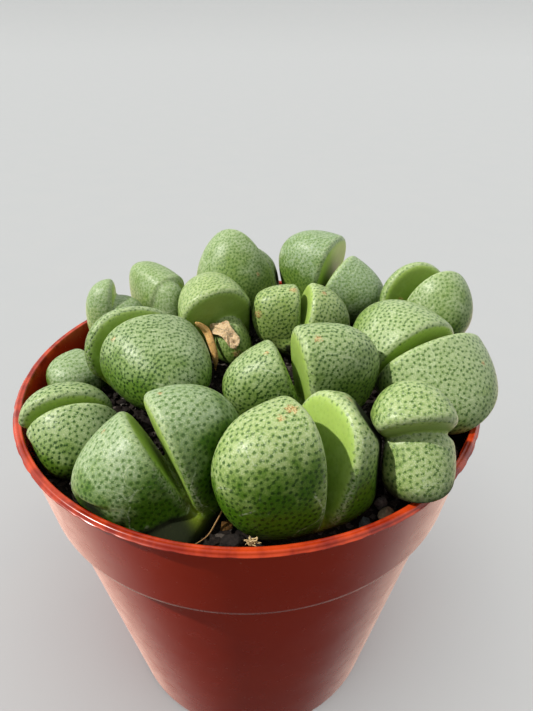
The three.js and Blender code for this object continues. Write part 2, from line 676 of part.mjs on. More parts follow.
function addMesh(name, solid, look) {
  const mesh = new THREE.Mesh(geometryOf(solid), new THREE.MeshStandardMaterial({ ...look, metalness: 0 }));
  mesh.name = name;
  model.add(mesh);
}

addMesh('pot', potSolid(), MATERIALS.pot);
let soil = soilSolid();
for (const head of HEADS) {
  const solid = headSolid(head, leavesOf(head));
  addMesh(head.name, solid, MATERIALS.leaf);
  soil = soil.subtract(holeSolid(head, solid));
}
for (const [name, piece] of Object.entries(LUMPS)) {
  addMesh(name, solidOf(lump(piece)), MATERIALS[name] ?? MATERIALS.scrap);
  soil = soil.subtract(solidOf(lump(piece, LUMP_BED)));
}
addMesh('soil', soil, MATERIALS.soil);
const flowerLeaf = leaves.find((leaf) => leaf.head.name === 'head_with_dry_flower' && leaf.side < 0);
addMesh('dried_flower', flowerSolid(flowerLeaf), MATERIALS.dry);
addMesh('dried_sheath', stripSolid(SHEATH_PATH, SHEATH_WIDE, SHEATH_THICK, 14), MATERIALS.dry);
addMesh('root_fibre', stripSolid(FIBRE_PATH, 2 * FIBRE_RADIUS, 2 * FIBRE_RADIUS, 12), MATERIALS.scrap);
addMesh('root_tuft', tuftSolid(), MATERIALS.dry);

export default model;
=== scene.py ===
"""Potted split rock: speckled leaf pairs in a plastic nursery pot, dressed around its CAD frame."""
from functools import partial
import math

import bmesh
import bpy
import numpy as np
from mathutils import Matrix, Vector, noise


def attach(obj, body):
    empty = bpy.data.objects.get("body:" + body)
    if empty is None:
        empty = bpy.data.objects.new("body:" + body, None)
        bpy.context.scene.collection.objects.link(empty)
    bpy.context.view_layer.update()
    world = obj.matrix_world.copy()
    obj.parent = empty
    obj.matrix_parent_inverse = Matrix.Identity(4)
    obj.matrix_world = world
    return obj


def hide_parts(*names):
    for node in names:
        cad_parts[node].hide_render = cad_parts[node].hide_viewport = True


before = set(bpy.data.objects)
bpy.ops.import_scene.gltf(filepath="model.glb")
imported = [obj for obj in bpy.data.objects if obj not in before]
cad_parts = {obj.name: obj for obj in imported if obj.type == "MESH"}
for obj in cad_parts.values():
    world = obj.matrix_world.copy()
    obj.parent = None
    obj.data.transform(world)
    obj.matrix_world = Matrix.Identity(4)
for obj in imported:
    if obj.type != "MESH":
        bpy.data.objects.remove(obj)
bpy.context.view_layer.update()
MM = 0.001

# Pot, in millimetres, as in the part
LIP_RADIUS = 52.5
LIP_WIDTH = 1.8
LIP_TOP = 94.2
LIP_EDGE = 93.5
COLLAR_DROP = 20.2
COLLAR_RADIUS = 49.3
BODY_RADIUS = 47.4
STEP_DROP = 0.9
FOOT_RADIUS = 36.8
FOOT_CURVE = 1.6
WALL = 0.9
FLOOR = 1.3
DRAIN_HOLES = 6
DRAIN_RADIUS = 3.5
DRAIN_CIRCLE = 23
POT_STEPS = 288
COLLAR_FOOT = LIP_EDGE - COLLAR_DROP
COLLAR_TOP = LIP_RADIUS - LIP_WIDTH + WALL  # radius of the collar's outer face below the lip
WORN_BAND = 0.2  # width of the lip's worn edge, and how far it is worn back
WORN_DEPTH = 0.28
MERGE = 1e-6  # metres within which two points of a spun shape are one

# Soil
SOIL_GAP = 0.4
SOIL_DROP = 4.6
SOIL_RELIEF = 0.27
SOIL_CRUMB = 0.9
SOIL_STEP = 0.5
SOIL_TURNS = 300

# Loose grains, mostly as shares of their size
GRAIN_CIRCLE = 48.6  # millimetres
GRAIN_CLEAR = 0.4  # millimetres from the pot
GRAIN_LIFT = 0.15
GRAIN_FORM = (0.6, 1.3)
GRAIN_ROUGH = 0.09

# Stones, as shares of their radius
STONE_SIDES = 9
STONE_BROKEN = (0.62, 0.85)  # how far out the broken sides lie
STONE_FLAT = 0.92  # how much of what stood out there is gone
STONE_WEAR = 0.1
STONE_PITS = 0.05

# Leaves
TOUCH_GAP = 0.32
CLEFT_EDGE = 1.7
CONTACT_EDGE = 0.7
LIP_GAP = 0.8
LIP_SLOPE = 1.6
CENTRE_DEPTH = 0.42
FOOT_THICK = 0.62
FOOT_SHIFT = 0.2
FOOT_TOP = 0.3
FOOT_CENTRE = 0.35
STEM_DEPTH = 9
STEM_TOP = 0.62
STEM_TIP = 1.6
STEM_CIRCLE = 41
STEM_TOP_CIRCLE = 46.5
JOIN_GAP = 0.2  # off the leaves' own forms, where the skin of the foot starts
JOIN_FADE = 0.8
FOOT_ZONE_RISE = 6  # how far up from the foot's end the foot zone reaches, which the skin paints near black as shade
RIM_IN = 0.2  # where the pale rim, partly a painted highlight, lies beside the cleft's edge, and its width, as its own shares
RIM_WIDE = 0.6
CLEFT_WIDE = 1.4
CLEFT_DEEP = 2.2
SCAR_SOFT = 1.25  # a scar's outer edge, as a share of its reach
BALL_LEVEL = 6
RAY_LEVEL = 4
RAY_REACH = 2.4  # beyond any body's surface, as a share of its half size
RAY_HALVINGS = 20
SKIN_VOXEL = 0.34
SKIN_INSET = 0.1  # keeps the skin inside the part's own size
CREASE_SHARE = 0.1  # how far a crease is softened, as a share of the leaves' width
CREASE_STEPS = 120
CREASE_TOP = 1  # above the cleft's bottom, where the softening starts
CREASE_FADE = 2
BLEND = 7  # how far a swollen foot flows up into its leaves
BLEND_LEAF = 0.4  # how much less a swollen foot's crease narrows towards its leaves
BLEND_CLEAR = 1.5  # how far the cleft is kept open
BLEND_FADE = 2.5
DOT_SPREAD = 0.72  # nearest two dots, as a share of their mean spacing
DOT_TRIES = 8e6  # tries to place a dot, per square metre

# Heads, as in the part: at, turn, roll, pitch, foot, full, then each leaf's width, thickness,
# height, opening, slide, tip and egg. rest: the leaf that lies on the lip, as its side, then where
# round the pot, the lean of its underside and the gap. swelling: its middle and its reach.
# skin: dot spacing and strength, waxy bloom, yellow, and how dark green the low sides are.
HEADS = {
    "head_front": dict(
        at=(9.7, -38, -2.8), turn=114, roll=8, pitch=-3, foot=5, full=2.4,
        left=(17.6, 16.8, 21.5, 8, -0.6, 10, -0.1), right=(20.2, 14.8, 20.8, 10, 0.8, 6, 0),
        skin=(1.35, 0.8, 0.35, 0.45, 1)),
    "head_front_left": dict(
        at=(-12.5, -35.5, -2.5), turn=114, roll=-12, pitch=8, foot=6.5, full=2.1,
        left=(21.4, 16, 18.4, 11, 2.4, 15, -0.2), right=(19.2, 14.4, 20.4, 0, -0.8, 9, -0.15),
        swelling=(-2.5, 4, 9.4, 10.5, 5), skin=(1.4, 0.65, 0.8, 0.1, 1)),
    "head_left": dict(
        at=(-37, -18.5, -1.5), turn=24, roll=4, pitch=9, foot=5, full=2.1,
        left=(19, 8.5, 10.5, -8, -1, 0, 0), right=(19, 12.5, 10.5, 16, 0, 3, 0.1),
        skin=(1.3, 1, 0.5, 0.2, 0.9)),
    "head_left_middle": dict(
        at=(-26, -2, 0), turn=32, roll=3, pitch=16, foot=3.5, full=2.1,
        left=(25, 10.5, 17, 13, -0.5, 4, 0), right=(24, 20, 18, 3, 1, 0, -0.1),
        skin=(1.2, 0.9, 0.65, 0.3, 0.85)),
    "head_left_edge": dict(
        at=(-40, 5, -5.5), turn=130, roll=10, pitch=0, foot=4.5, full=2.4,
        left=(14.5, 10.5, 9, 2, -1, -6, -0.1), right=(10, 8, 8, 0, 0, 8, 0),
        skin=(1.3, 0.45, 0.8, 0.15, 0.85)),
    "head_front_right": dict(
        at=(29.4, -32.6, 5.6), turn=2, roll=28, pitch=-3, foot=5.5, full=2.1,
        left=(15, 9.2, 12.9, -6, -0.5, -2, -0.3), right=(15.2, 12.9, 7.8, 6, 0, 4, 0.1),
        rest=(-1, -56, 12, 0.45), skin=(1.25, 0.75, 0.4, 0.5, 0.5)),
    "head_right": dict(
        at=(37, -5, 1.5), turn=27, roll=12, pitch=2, foot=5, full=2,
        left=(24, 18, 16.5, -5, 0, -10, 0.1), right=(28, 18.8, 16.8, 14, 0, 1, -0.2),
        rest=(-1, -12, 30, 0.9), skin=(1.35, 0.8, 0.55, 0.35, 0.55)),
    "head_centre": dict(
        at=(11, -14, 0), turn=100, roll=-9, pitch=6, foot=5.5, full=2.3,
        left=(15.5, 14, 16.5, 9, 0.5, 10, -0.2), right=(16, 17, 20.5, 2, -1, -11, -0.1),
        skin=(1.2, 0.95, 0.5, 0.3, 0.75)),
    "head_middle": dict(
        at=(12.5, 14, 1.5), turn=92, roll=7, pitch=6, foot=5.5, full=2.4,
        left=(12.5, 12, 13.5, 3, 0.5, 8, -0.2), right=(18, 13, 14.5, 6, 0.5, 0, 0.1),
        skin=(1.2, 0.85, 0.3, 0.5, 0.4)),
    "head_back": dict(
        at=(-2, 39.5, -0.5), turn=152, roll=6, pitch=3, foot=6.5, full=2.1,
        left=(24, 12.5, 22, 1, 0.5, 5, 0.2), right=(23, 9.5, 17, -2, 1, -16, 0),
        skin=(1.2, 0.4, 0.7, 0.25, 0.6)),
    "head_with_dry_flower": dict(
        at=(-5.5, 15, -1), turn=16, roll=9, pitch=-10, foot=4.5, full=2.2,
        left=(19, 16, 18, -4, 0.5, -11, -0.1), right=(10, 9.5, 9.5, 0, 1, -4, 0.1),
        skin=(1.2, 0.6, 0.4, 0.9, 0.65)),
    "head_back_left": dict(
        at=(-36, 21.5, -0.5), turn=97, roll=-6, pitch=10, foot=6, full=2.4,
        left=(12, 7.5, 14.5, -12, 0, -2, -0.1), right=(13, 8, 10, 7, -0.5, 4, -0.2),
        skin=(1.2, 0.25, 0.8, 0.3, 0.05)),
    "head_back_left_inner": dict(
        at=(-24.5, 27.5, -1.5), turn=45, roll=5, pitch=2, foot=5.5, full=2.5,
        left=(11, 15, 14.5, -10, 0.5, 10, -0.3), right=(10, 9, 13.5, -5, 2, -6, 0.1),
        skin=(1.2, 0.25, 0.7, 0.35, 0.45)),
    "head_back_right_inner": dict(
        at=(22.5, 36, 1), turn=56, roll=8, pitch=-4, foot=5, full=2.4,
        left=(18.5, 16.5, 19.5, -2, 0, 8, -0.1), right=(16, 16, 17, 14, 1, -11, -0.1),
        skin=(1.2, 0.35, 0.95, 0.1, 0.75)),
    "head_back_right": dict(
        at=(46, 18, 4.5), turn=12, roll=-5, pitch=-11, foot=4, full=2,
        left=(19.5, 9, 15, 2, -2, 13, 0.1), right=(18, 12.5, 16, 19, 1.5, 11, 0.1),
        skin=(1.3, 0.5, 0.6, 0.3, 0.75)),
}

# Stones, crumbs and dry scraps, as in the part: place, size, turn, lean and seed
LUMPS = {
    "pebble_grey": dict(at=(23.8, -38.5, -3.8), size=(2.4, 2.1, 3), turn=20, lean=0, seed=1),
    "pebble_tan": dict(at=(24.3, -41.5, -3.5), size=(3.8, 2.9, 2.8), turn=35, lean=-12, seed=2),
    "pebble_slate": dict(at=(20, -43.1, -3.9), size=(3, 2.5, 2.6), turn=60, lean=0, seed=3),
    "soil_clod": dict(at=(-3.4, -46.6, -3.6), size=(5.2, 3.2, 2.8), turn=6, lean=8, seed=4),
    "leaf_scrap": dict(at=(-4.4, -42.6, -3.85), size=(3, 2.2, 0.7), turn=40, lean=24, seed=5),
}
TUFT_AT = (0, -49.4, 0.4)
TUFT_STRANDS = 26
FIBRE_PATH = [(-4.85, -41.4, -0.9), (-6.2, -43.4, -2.3), (-7.6, -45.2, -3.4), (-10, -46.6, -4.1)]
SHEATH_PATH = [
    (-13, 9.1, 8.6), (-11.4, 9.6, 7.1), (-10.3, 9.5, 5.6), (-9.4, 8.1, 3.8), (-8.7, 6.9, 1.8),
    (-8.4, 6.4, -0.4), (-8.4, 6.6, -2.6), (-8.5, 7.2, -4.7)]
SHEATH_FACES = (-0.1, -0.8, 0.6)
SHEATH_WIDE = 1.85
SHEATH_FORM = [  # how far along it, and its width there as a share
    (0, 0.15), (0.06, 0.6), (0.25, 1), (0.5, 0.95), (0.68, 0.85), (0.8, 0.45), (0.88, 0.13),
    (1, 0.1)]
SHEATH_ROLL = 0.45
FLOWER_MIDDLE = (-5.2, 8.3, 5.9)
FLOWER_EDGE = [
    (-9, 11, 5), (-8.6, 10.4, 4.2), (-6.7, 8.2, 4.9), (-5.9, 7.4, 4.7), (-5.1, 6.7, 4),
    (-4.3, 6.1, 3.1), (-3.4, 6, 3), (-2.8, 6.2, 3.3), (-2.4, 7.2, 4.5), (-3.1, 7.8, 5.6),
    (-4.3, 8.9, 6.7), (-4.9, 10.1, 7.4), (-6.7, 10.2, 7.1), (-8.6, 11.2, 5.8)]
FLOWER_HOLES = [(-4.1, 7.5, 5.3), (-3.5, 6.6, 4.2)]
FLOWER_RIDGES = [(0.3, 0.03), (0.93, 0.04)]  # where round the flower, and how wide
FLOWER_RINGS = 19
FLOWER_TURNS = 112
PAPER = 0.16  # thickness of dead tissue

# Corky scars on the leaves, as a middle and a reach
SCARS = [
    (6.7, -38.6, 112.2, 1.7), (4.9, -40.6, 111.9, 1.1), (17.4, -32.1, 108.8, 1.2),
    (2.3, 12, 102.6, 1.5), (11.3, 14.3, 108.2, 1.5), (18.8, 12.9, 108, 1),
    (-28.2, -9.1, 108.5, 0.9), (39.5, 17.5, 103.8, 0.9), (48.6, -15, 104.9, 0.8),
    (13.3, -18.6, 113.6, 1.3), (3.5, -14.7, 107.9, 0.8), (-15.2, -32.1, 111, 0.8),
    (-25.6, -33.5, 104.1, 0.8), (3, 31.4, 104.9, 0.9), (-3.1, 5.7, 95.1, 1.6)]

# Camera: eye and axes from the outline of the rim, collar and body
EYE = (0, -106.76, 165.08)
VIEW_RIGHT = (0.99936, -0.03543, 0.00495)
VIEW_UP = (0.01465, 0.53164, 0.84684)
VIEW_BACK = (-0.03264, -0.84623, 0.53182)
FOCAL_PIXELS = 536.3
PHOTO_HEIGHT = 711
SENSOR = 36

# Settings that many nodes share
SMOOTH = dict(interpolation_type="SMOOTHSTEP")
COLOUR = dict(data_type="RGBA")


# Shared tools
def linear(text):
    """The scene-linear colour of an sRGB hex value."""
    values = [int(text[i:i + 2], 16) / 255 for i in (1, 3, 5)]
    return [v / 12.92 if v <= 0.04045 else ((v + 0.055) / 1.055) ** 2.4 for v in values] + [1]


def connect(socket, value):
    """Gives a socket a number, a hex colour, or a link to a socket or a node's first output."""
    if isinstance(value, bpy.types.Node):
        value = next(output for output in value.outputs if output.enabled)
    if isinstance(value, bpy.types.NodeSocket):
        socket.id_data.links.new(value, socket)
    elif value is not None:
        socket.default_value = linear(value) if str(value).startswith("#") else value


def node(tree, kind, settings, *values, **named):
    """Adds a node. A bare word in place of its settings is its operation. Values go to its inputs
    in order, or by name."""
    made = tree.nodes.new(kind if "Node" in kind else "ShaderNode" + kind)
    for key, value in ({"operation": settings} if isinstance(settings, str) else settings).items():
        setattr(made, key, value)
    for socket, value in zip([socket for socket in made.inputs if socket.enabled], values):
        connect(socket, value)
    wire(made, **named)
    return made


def wire(made, **sockets):
    """Gives values to a node's inputs by name."""
    for key, value in sockets.items():
        connect(made.inputs[key.replace("_", " ")], value)


def new_material(name):
    """A material, a call that adds a node to it, its shader and the piece's coordinates."""
    material = bpy.data.materials.new(name)
    material.use_nodes = True
    tree = material.node_tree
    add = partial(node, tree)
    return material, add, tree.nodes["Principled BSDF"], add("TexCoord", {}).outputs["Object"]


def put_in_scene(name, data):
    made = bpy.data.objects.new(name, data)
    bpy.context.scene.collection.objects.link(made)
    return made


def object_of(bm, name):
    mesh = bpy.data.meshes.new(name)
    bm.to_mesh(mesh)
    bm.free()
    mesh.shade_smooth()
    return put_in_scene(name, mesh)


def final_mesh(piece):
    graph = bpy.context.evaluated_depsgraph_get()
    mesh = bpy.data.meshes.new_from_object(piece.evaluated_get(graph))
    mesh.shade_smooth()
    return mesh


def settle(piece):
    """Applies the piece's modifiers to its mesh."""
    settled = final_mesh(piece)
    settled.name = piece.name
    piece.modifiers.clear()
    piece.data = settled


def read_all(items, name, wide=3, kind=np.float32):
    """One row of values for each item of a mesh."""
    values = np.empty(len(items) * wide, kind)
    items.foreach_get(name, values)
    return values.reshape(-1, wide)


def coordinates(mesh):
    return read_all(mesh.vertices, "co").astype(float)


def set_attributes(mesh, **attributes):
    for name, values in attributes.items():
        made = mesh.attributes.new(name, "FLOAT", "POINT")
        values = np.broadcast_to(values, len(mesh.vertices)).astype(np.float32)
        made.data.foreach_set("value", values)


def place_points(verts, points):
    for vert, point in zip(verts, points * MM):
        vert.co = point


def points_of(verts):
    return np.array([vert.co for vert in verts])


def spun(line, steps):
    """Points on a line, spun full round the pot's axis."""
    bm = bmesh.new()
    verts = [bm.verts.new(point) for point in line]
    edges = [bm.edges.new(pair) for pair in zip(verts, verts[1:])]
    bmesh.ops.spin(bm, geom=verts + edges, cent=(0, 0, 0), axis=(0, 0, 1), angle=math.tau,
                   steps=steps, use_merge=True)
    bmesh.ops.remove_doubles(bm, verts=bm.verts, dist=MERGE)
    return bm


def hand_in(piece, slot, material, *nodes):
    """Dresses a finished piece and lets it stand for its CAD nodes."""
    piece.data.materials.clear()
    piece.data.materials.append(material)
    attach(piece, "root")
    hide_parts(*nodes)


# Leaves: the same forms as in the part
def turn_about(axis, degrees):
    return np.array(Matrix.Rotation(math.radians(degrees), 3, axis))


def head_turn(head):
    turned = turn_about("Z", head["turn"]) @ turn_about("Y", head["pitch"])
    return turned @ turn_about("X", head["roll"])


def lip_plane(turn, lean, gap):
    """The plane that a leaf lying on the lip rests on."""
    turn, lean = math.radians(turn), math.radians(lean)
    out = np.array([math.cos(turn), math.sin(turn), 0])
    normal = out * math.sin(lean) - (0, 0, math.cos(lean))
    edge = out * lip_bore + (0, 0, LIP_TOP)
    return normal, edge @ normal - gap


def make_leaf(head, side):
    wide, thick, tall, opening, slide, tip, egg = head["left"] if side > 0 else head["right"]
    place = head_turn(head) @ np.diag([1, side, 1])
    place = place @ turn_about("X", -opening) @ turn_about("Y", tip)
    hinge = np.array(head["at"], float) + (0, 0, LIP_EDGE)
    middle = np.array([slide, 0, (tall - head["foot"]) / 2])
    centre = middle + (0, CENTRE_DEPTH * thick, 0)
    half = np.array([wide / 2, thick, (tall + head["foot"]) / 2])
    rest = head.get("rest", (0,))
    return dict(head=head, side=side, place=place, hinge=hinge, middle=middle, centre=centre,
                half=half, egg=egg, full=head["full"], planes=[], form=leaf_form,
                lip=lip_plane(*rest[1:]) if rest[0] == side else None)


def make_foot(head, leaves):
    """The swelling that joins a head's two leaves below their cleft."""
    wide, thick, tall, _, slide, _, egg = [(a + b) / 2 for a, b in zip(head["left"], head["right"])]
    shift = FOOT_SHIFT * (head["left"][1] - head["right"][1])
    middle = np.array([slide, shift, (tall - head["foot"]) / 2])
    centre = middle * (1, 1, 0) - (0, 0, FOOT_CENTRE * head["foot"])
    half = np.array([wide / 2, FOOT_THICK * thick, (tall + head["foot"]) / 2])
    if "swelling" in head:
        along, across, *half = head["swelling"]
        half, egg = np.array(half), 0
        centre = middle = np.array([along, across, FOOT_TOP - half[2]])
    return dict(head=head, side=1, place=head_turn(head), hinge=leaves[0]["hinge"], middle=middle,
                centre=centre, half=half, egg=egg, full=head["full"],
                planes=[p for leaf in leaves for p in leaf["planes"]], form=foot_form, lip=None)


def to_world(body, points):
    return points @ body["place"].T + body["hinge"]


def to_own(body, points):
    return (points - body["hinge"]) @ body["place"]


def rounded_most(values, radius):
    """The largest of the values, with the edges where two meet rounded."""
    return np.sqrt(sum(np.maximum(0, v + radius) ** 2 for v in values)) - radius


def dome_form(leaf, points):
    x, y, z = points.T
    half = leaf["half"]
    up = (z - leaf["middle"][2]) / half[2]
    narrow = 1 - leaf["egg"] * np.clip(up, -1.3, 1.3)
    full = leaf["full"]
    total = (np.abs(x - leaf["middle"][0]) / (half[0] * narrow)) ** full
    total += (np.abs(y) / (half[1] * narrow)) ** full + np.abs(up) ** full
    return (total ** (1 / full) - 1) * half.min()


def leaf_form(leaf, points):
    return rounded_most([dome_form(leaf, points), -points[:, 1]], CLEFT_EDGE)


def foot_form(foot, points):
    return rounded_most([dome_form(foot, points), points[:, 2] - FOOT_TOP], CLEFT_EDGE)


def inner_radius(z):
    """The pot's radius inside its wall, at a height."""
    step_top = COLLAR_FOOT + WALL
    collar = COLLAR_RADIUS - WALL
    collar = collar + (z - step_top) / (LIP_TOP - step_top) * (COLLAR_TOP - COLLAR_RADIUS)
    body = FOOT_RADIUS - WALL + z / (COLLAR_FOOT - STEP_DROP) * (BODY_RADIUS - FOOT_RADIUS)
    return np.where(z >= step_top, collar, body)


lip_bore = float(inner_radius(LIP_TOP))


def wall_form(points):
    """How far points are outside the room that the pot leaves. It widens above the lip."""
    r = np.hypot(points[:, 0], points[:, 1])
    z = points[:, 2]
    over = z - LIP_TOP - LIP_GAP
    above = (r - (lip_bore - LIP_GAP) - LIP_SLOPE * over) / math.hypot(1, LIP_SLOPE)
    return np.where(over > 0, above, r - inner_radius(np.minimum(z, LIP_TOP)) + LIP_GAP)


def pushed_out(body, rays):
    """Points where rays from the body's centre leave it."""
    low = np.zeros(len(rays))
    high = np.full(len(rays), RAY_REACH * body["half"].max())
    for _ in range(RAY_HALVINGS):
        reach = (low + high) / 2
        own = body["centre"] + rays * reach[:, None]
        world = to_world(body, own)
        values = [body["form"](body, own)]
        values += [world @ normal - limit for normal, limit in body["planes"]]
        values += [world @ body["lip"][0] - body["lip"][1]] if body["lip"] else [wall_form(world)]
        inside = rounded_most(values, CONTACT_EDGE) < 0
        low = np.where(inside, reach, low)
        high = np.where(inside, high, reach)
    return to_world(body, body["centre"] + rays * low[:, None])


def press_together(leaves, rays):
    """Leaves of different heads that reach each other are pressed flat on a plane between them."""
    loose = [pushed_out(leaf, rays) for leaf in leaves]
    middles = [to_world(leaf, leaf["centre"]) for leaf in leaves]
    for i, one in enumerate(leaves):
        for k in range(i + 1, len(leaves)):
            other = leaves[k]
            if one["head"] is other["head"]:
                continue
            normal = middles[k] - middles[i]
            apart = np.linalg.norm(normal)
            normal = normal / apart
            reach_one = ((loose[i] - middles[i]) @ normal).max()
            reach_other = ((loose[k] - middles[k]) @ -normal).max()
            if reach_one + reach_other + TOUCH_GAP <= apart:
                continue
            middle = middles[i] @ normal + apart * reach_one / (reach_one + reach_other)
            one["planes"].append((normal, middle - TOUCH_GAP / 2))
            other["planes"].append((-normal, -middle - TOUCH_GAP / 2))


def rays_of(verts):
    rays = points_of(verts)
    return rays / np.linalg.norm(rays, axis=1)[:, None]


def add_body(bm, body, level):
    """Adds to bm a ball whose points are pushed out to the body's surface."""
    made = bmesh.ops.create_icosphere(bm, subdivisions=level, radius=1)["verts"]
    place_points(made, pushed_out(body, rays_of(made)))
    if body["side"] < 0:
        bmesh.ops.reverse_faces(bm, faces=list({f for v in made for f in v.link_faces}))


def add_stem(bm, head):
    at = np.array(head["at"], float)
    distance = math.hypot(at[0], at[1])
    top = at * min(1, STEM_TOP_CIRCLE / distance)
    top[2] = at[2] + LIP_EDGE - 0.5 * head["foot"]
    tip = at * min(1, STEM_CIRCLE / distance)
    tip[2] = LIP_EDGE - SOIL_DROP - STEM_DEPTH
    axis = Vector(top - tip)
    turned = axis.to_track_quat("Z", "Y").to_matrix().to_4x4()
    place = Matrix.Translation(Vector((top + tip) / 2) * MM) @ turned
    bmesh.ops.create_cone(
        bm, cap_ends=True, segments=24, radius1=STEM_TIP * MM, radius2=STEM_TOP * head["foot"] * MM,
        depth=axis.length * MM, matrix=place)


def spread_dots(piece, pitch):
    """Spreads dots evenly over a head, and tells each point of it where the nearest one is."""
    tree = bpy.data.node_groups.new("dots", "GeometryNodeTree")
    for way in ("INPUT", "OUTPUT"):
        tree.interface.new_socket("Geometry", in_out=way, socket_type="NodeSocketGeometry")
    add = partial(node, tree)
    mesh = add("NodeGroupInput", {}).outputs[0]
    dots = add("GeometryNodeDistributePointsOnFaces", dict(distribute_method="POISSON"), mesh,
               Distance_Min=DOT_SPREAD * pitch * MM, Density_Max=DOT_TRIES)
    place = add("GeometryNodeInputPosition", {})
    nearest = add("GeometryNodeSampleNearest", {}, dots, place)
    centre = add("GeometryNodeSampleIndex", dict(data_type="FLOAT_VECTOR"), dots, place, nearest)
    told = add("GeometryNodeStoreNamedAttribute", dict(data_type="FLOAT_VECTOR"),
               mesh, True, "nearest_dot", centre)
    add("NodeGroupOutput", {}, told)
    piece.modifiers.new("dots", "NODES").node_group = tree
    settle(piece)


def grow_together(mesh, head, leaves, foot):
    """Softens the creases where leaves meet their foot, and fills those round a swollen foot."""
    points = coordinates(mesh)
    here = points / MM
    foot_gap, *leaf_gaps = [
        np.abs(body["form"](body, to_own(body, here))) for body in (foot, *leaves)]
    leaf_gap = np.minimum(*leaf_gaps)
    _, across, up = to_own(foot, here).T
    fill = 0
    if "swelling" in head:
        fill = BLEND / 4 * np.clip(1 - np.maximum(foot_gap, leaf_gap) / BLEND, 0, 1) ** 2
        fill *= np.clip((np.abs(across) - BLEND_CLEAR) / BLEND_FADE, 0, 1)
        fill = np.minimum(fill, np.maximum(np.abs(wall_form(here)) - LIP_GAP, 0))
        leaf_gap = leaf_gap * BLEND_LEAF
    normals = read_all(mesh.vertices, "normal")
    points += normals * np.reshape((fill - SKIN_INSET) * MM, (-1, 1))
    reach = CREASE_SHARE * (head["left"][0] + head["right"][0]) / 2
    weight = 0.5 * np.exp(-(np.maximum(foot_gap, leaf_gap) / reach) ** 2)
    weight = (weight * np.clip((CREASE_TOP - up) / CREASE_FADE, 0, 1))[:, None]
    one, other = read_all(mesh.edges, "vertices", 2, np.int32).T
    total = len(points)
    near = (np.bincount(one, minlength=total) + np.bincount(other, minlength=total))[:, None]
    for _ in range(CREASE_STEPS):
        around = [np.bincount(one, points[other, k], total)
                  + np.bincount(other, points[one, k], total) for k in range(3)]
        points += weight * (np.stack(around, axis=1) / near - points)
    mesh.vertices.foreach_set("co", points.astype(np.float32).ravel())
    mesh.update()


def skin_attributes(mesh, head, leaves):
    """What the skin's material needs to know at each point."""
    points = coordinates(mesh) / MM
    dots = read_all(mesh.attributes["nearest_dot"].data, "vector")
    edges, forms, heights = [], [], []
    for leaf in leaves:
        own = to_own(leaf, points)
        edges.append((-own[:, 1] - dome_form(leaf, own)) / CLEFT_EDGE)
        forms.append(np.abs(leaf_form(leaf, own)))
        heights.append((own[:, 2] - leaf["middle"][2]) / leaf["half"][2])
    nearest = np.argmin(forms, axis=0)
    edge = np.choose(nearest, edges)
    leaf_gap = np.choose(nearest, forms)
    at = np.array(head["at"]) + (0, 0, LIP_EDGE)
    # The foot zone, which the skin paints near black as shade
    up = np.clip((points[:, 2] - at[2] + head["foot"]) / FOOT_ZONE_RISE, 0, 1)
    foot = np.clip(np.maximum((leaf_gap - JOIN_GAP) / JOIN_FADE, 1 - up), 0, 1)
    scar = np.zeros(len(points))
    for x, y, z, reach in SCARS:
        away = np.linalg.norm(points - (x, y, z), axis=1) / reach
        scar = np.maximum(scar, np.clip(SCAR_SOFT - away, 0, 1))
    own = (points - at) @ head_turn(head)
    spacing, strength, bloom, yellow, deep = head["skin"]
    set_attributes(
        mesh, foot=foot, scar=scar, dot_away=np.linalg.norm(dots / MM - points, axis=1),
        inner_face=np.clip(0.5 + edge / 2, 0, 1) * (1 - foot),
        rim=np.exp(-((edge + RIM_IN) / RIM_WIDE) ** 2) * (1 - foot),
        height=np.clip(0.5 + np.choose(nearest, heights) / 2, 0, 1),
        cleft_bottom=np.exp(-((own[:, 1] / CLEFT_WIDE) ** 2 + (own[:, 2] / CLEFT_DEEP) ** 2)),
        dot_size=spacing, dot_strength=strength, bloom=bloom, yellow=yellow, deep=deep)


def make_head(name, head, leaves, material):
    bm = bmesh.new()
    for leaf in leaves:
        add_body(bm, leaf, BALL_LEVEL)
    foot = make_foot(head, leaves)
    add_body(bm, foot, BALL_LEVEL - 1)
    add_stem(bm, head)
    piece = object_of(bm, name.replace("head", "leaves"))
    remesh = piece.modifiers.new("grown_together", "REMESH")
    remesh.mode = "VOXEL"
    remesh.voxel_size = SKIN_VOXEL * MM
    even = piece.modifiers.new("even_skin", "SMOOTH")
    even.factor = 0.5
    even.iterations = 3
    settle(piece)
    grow_together(piece.data, head, leaves, foot)
    spread_dots(piece, head["skin"][0])
    skin_attributes(piece.data, head, leaves)
    hand_in(piece, "leaf_skin", material, name)


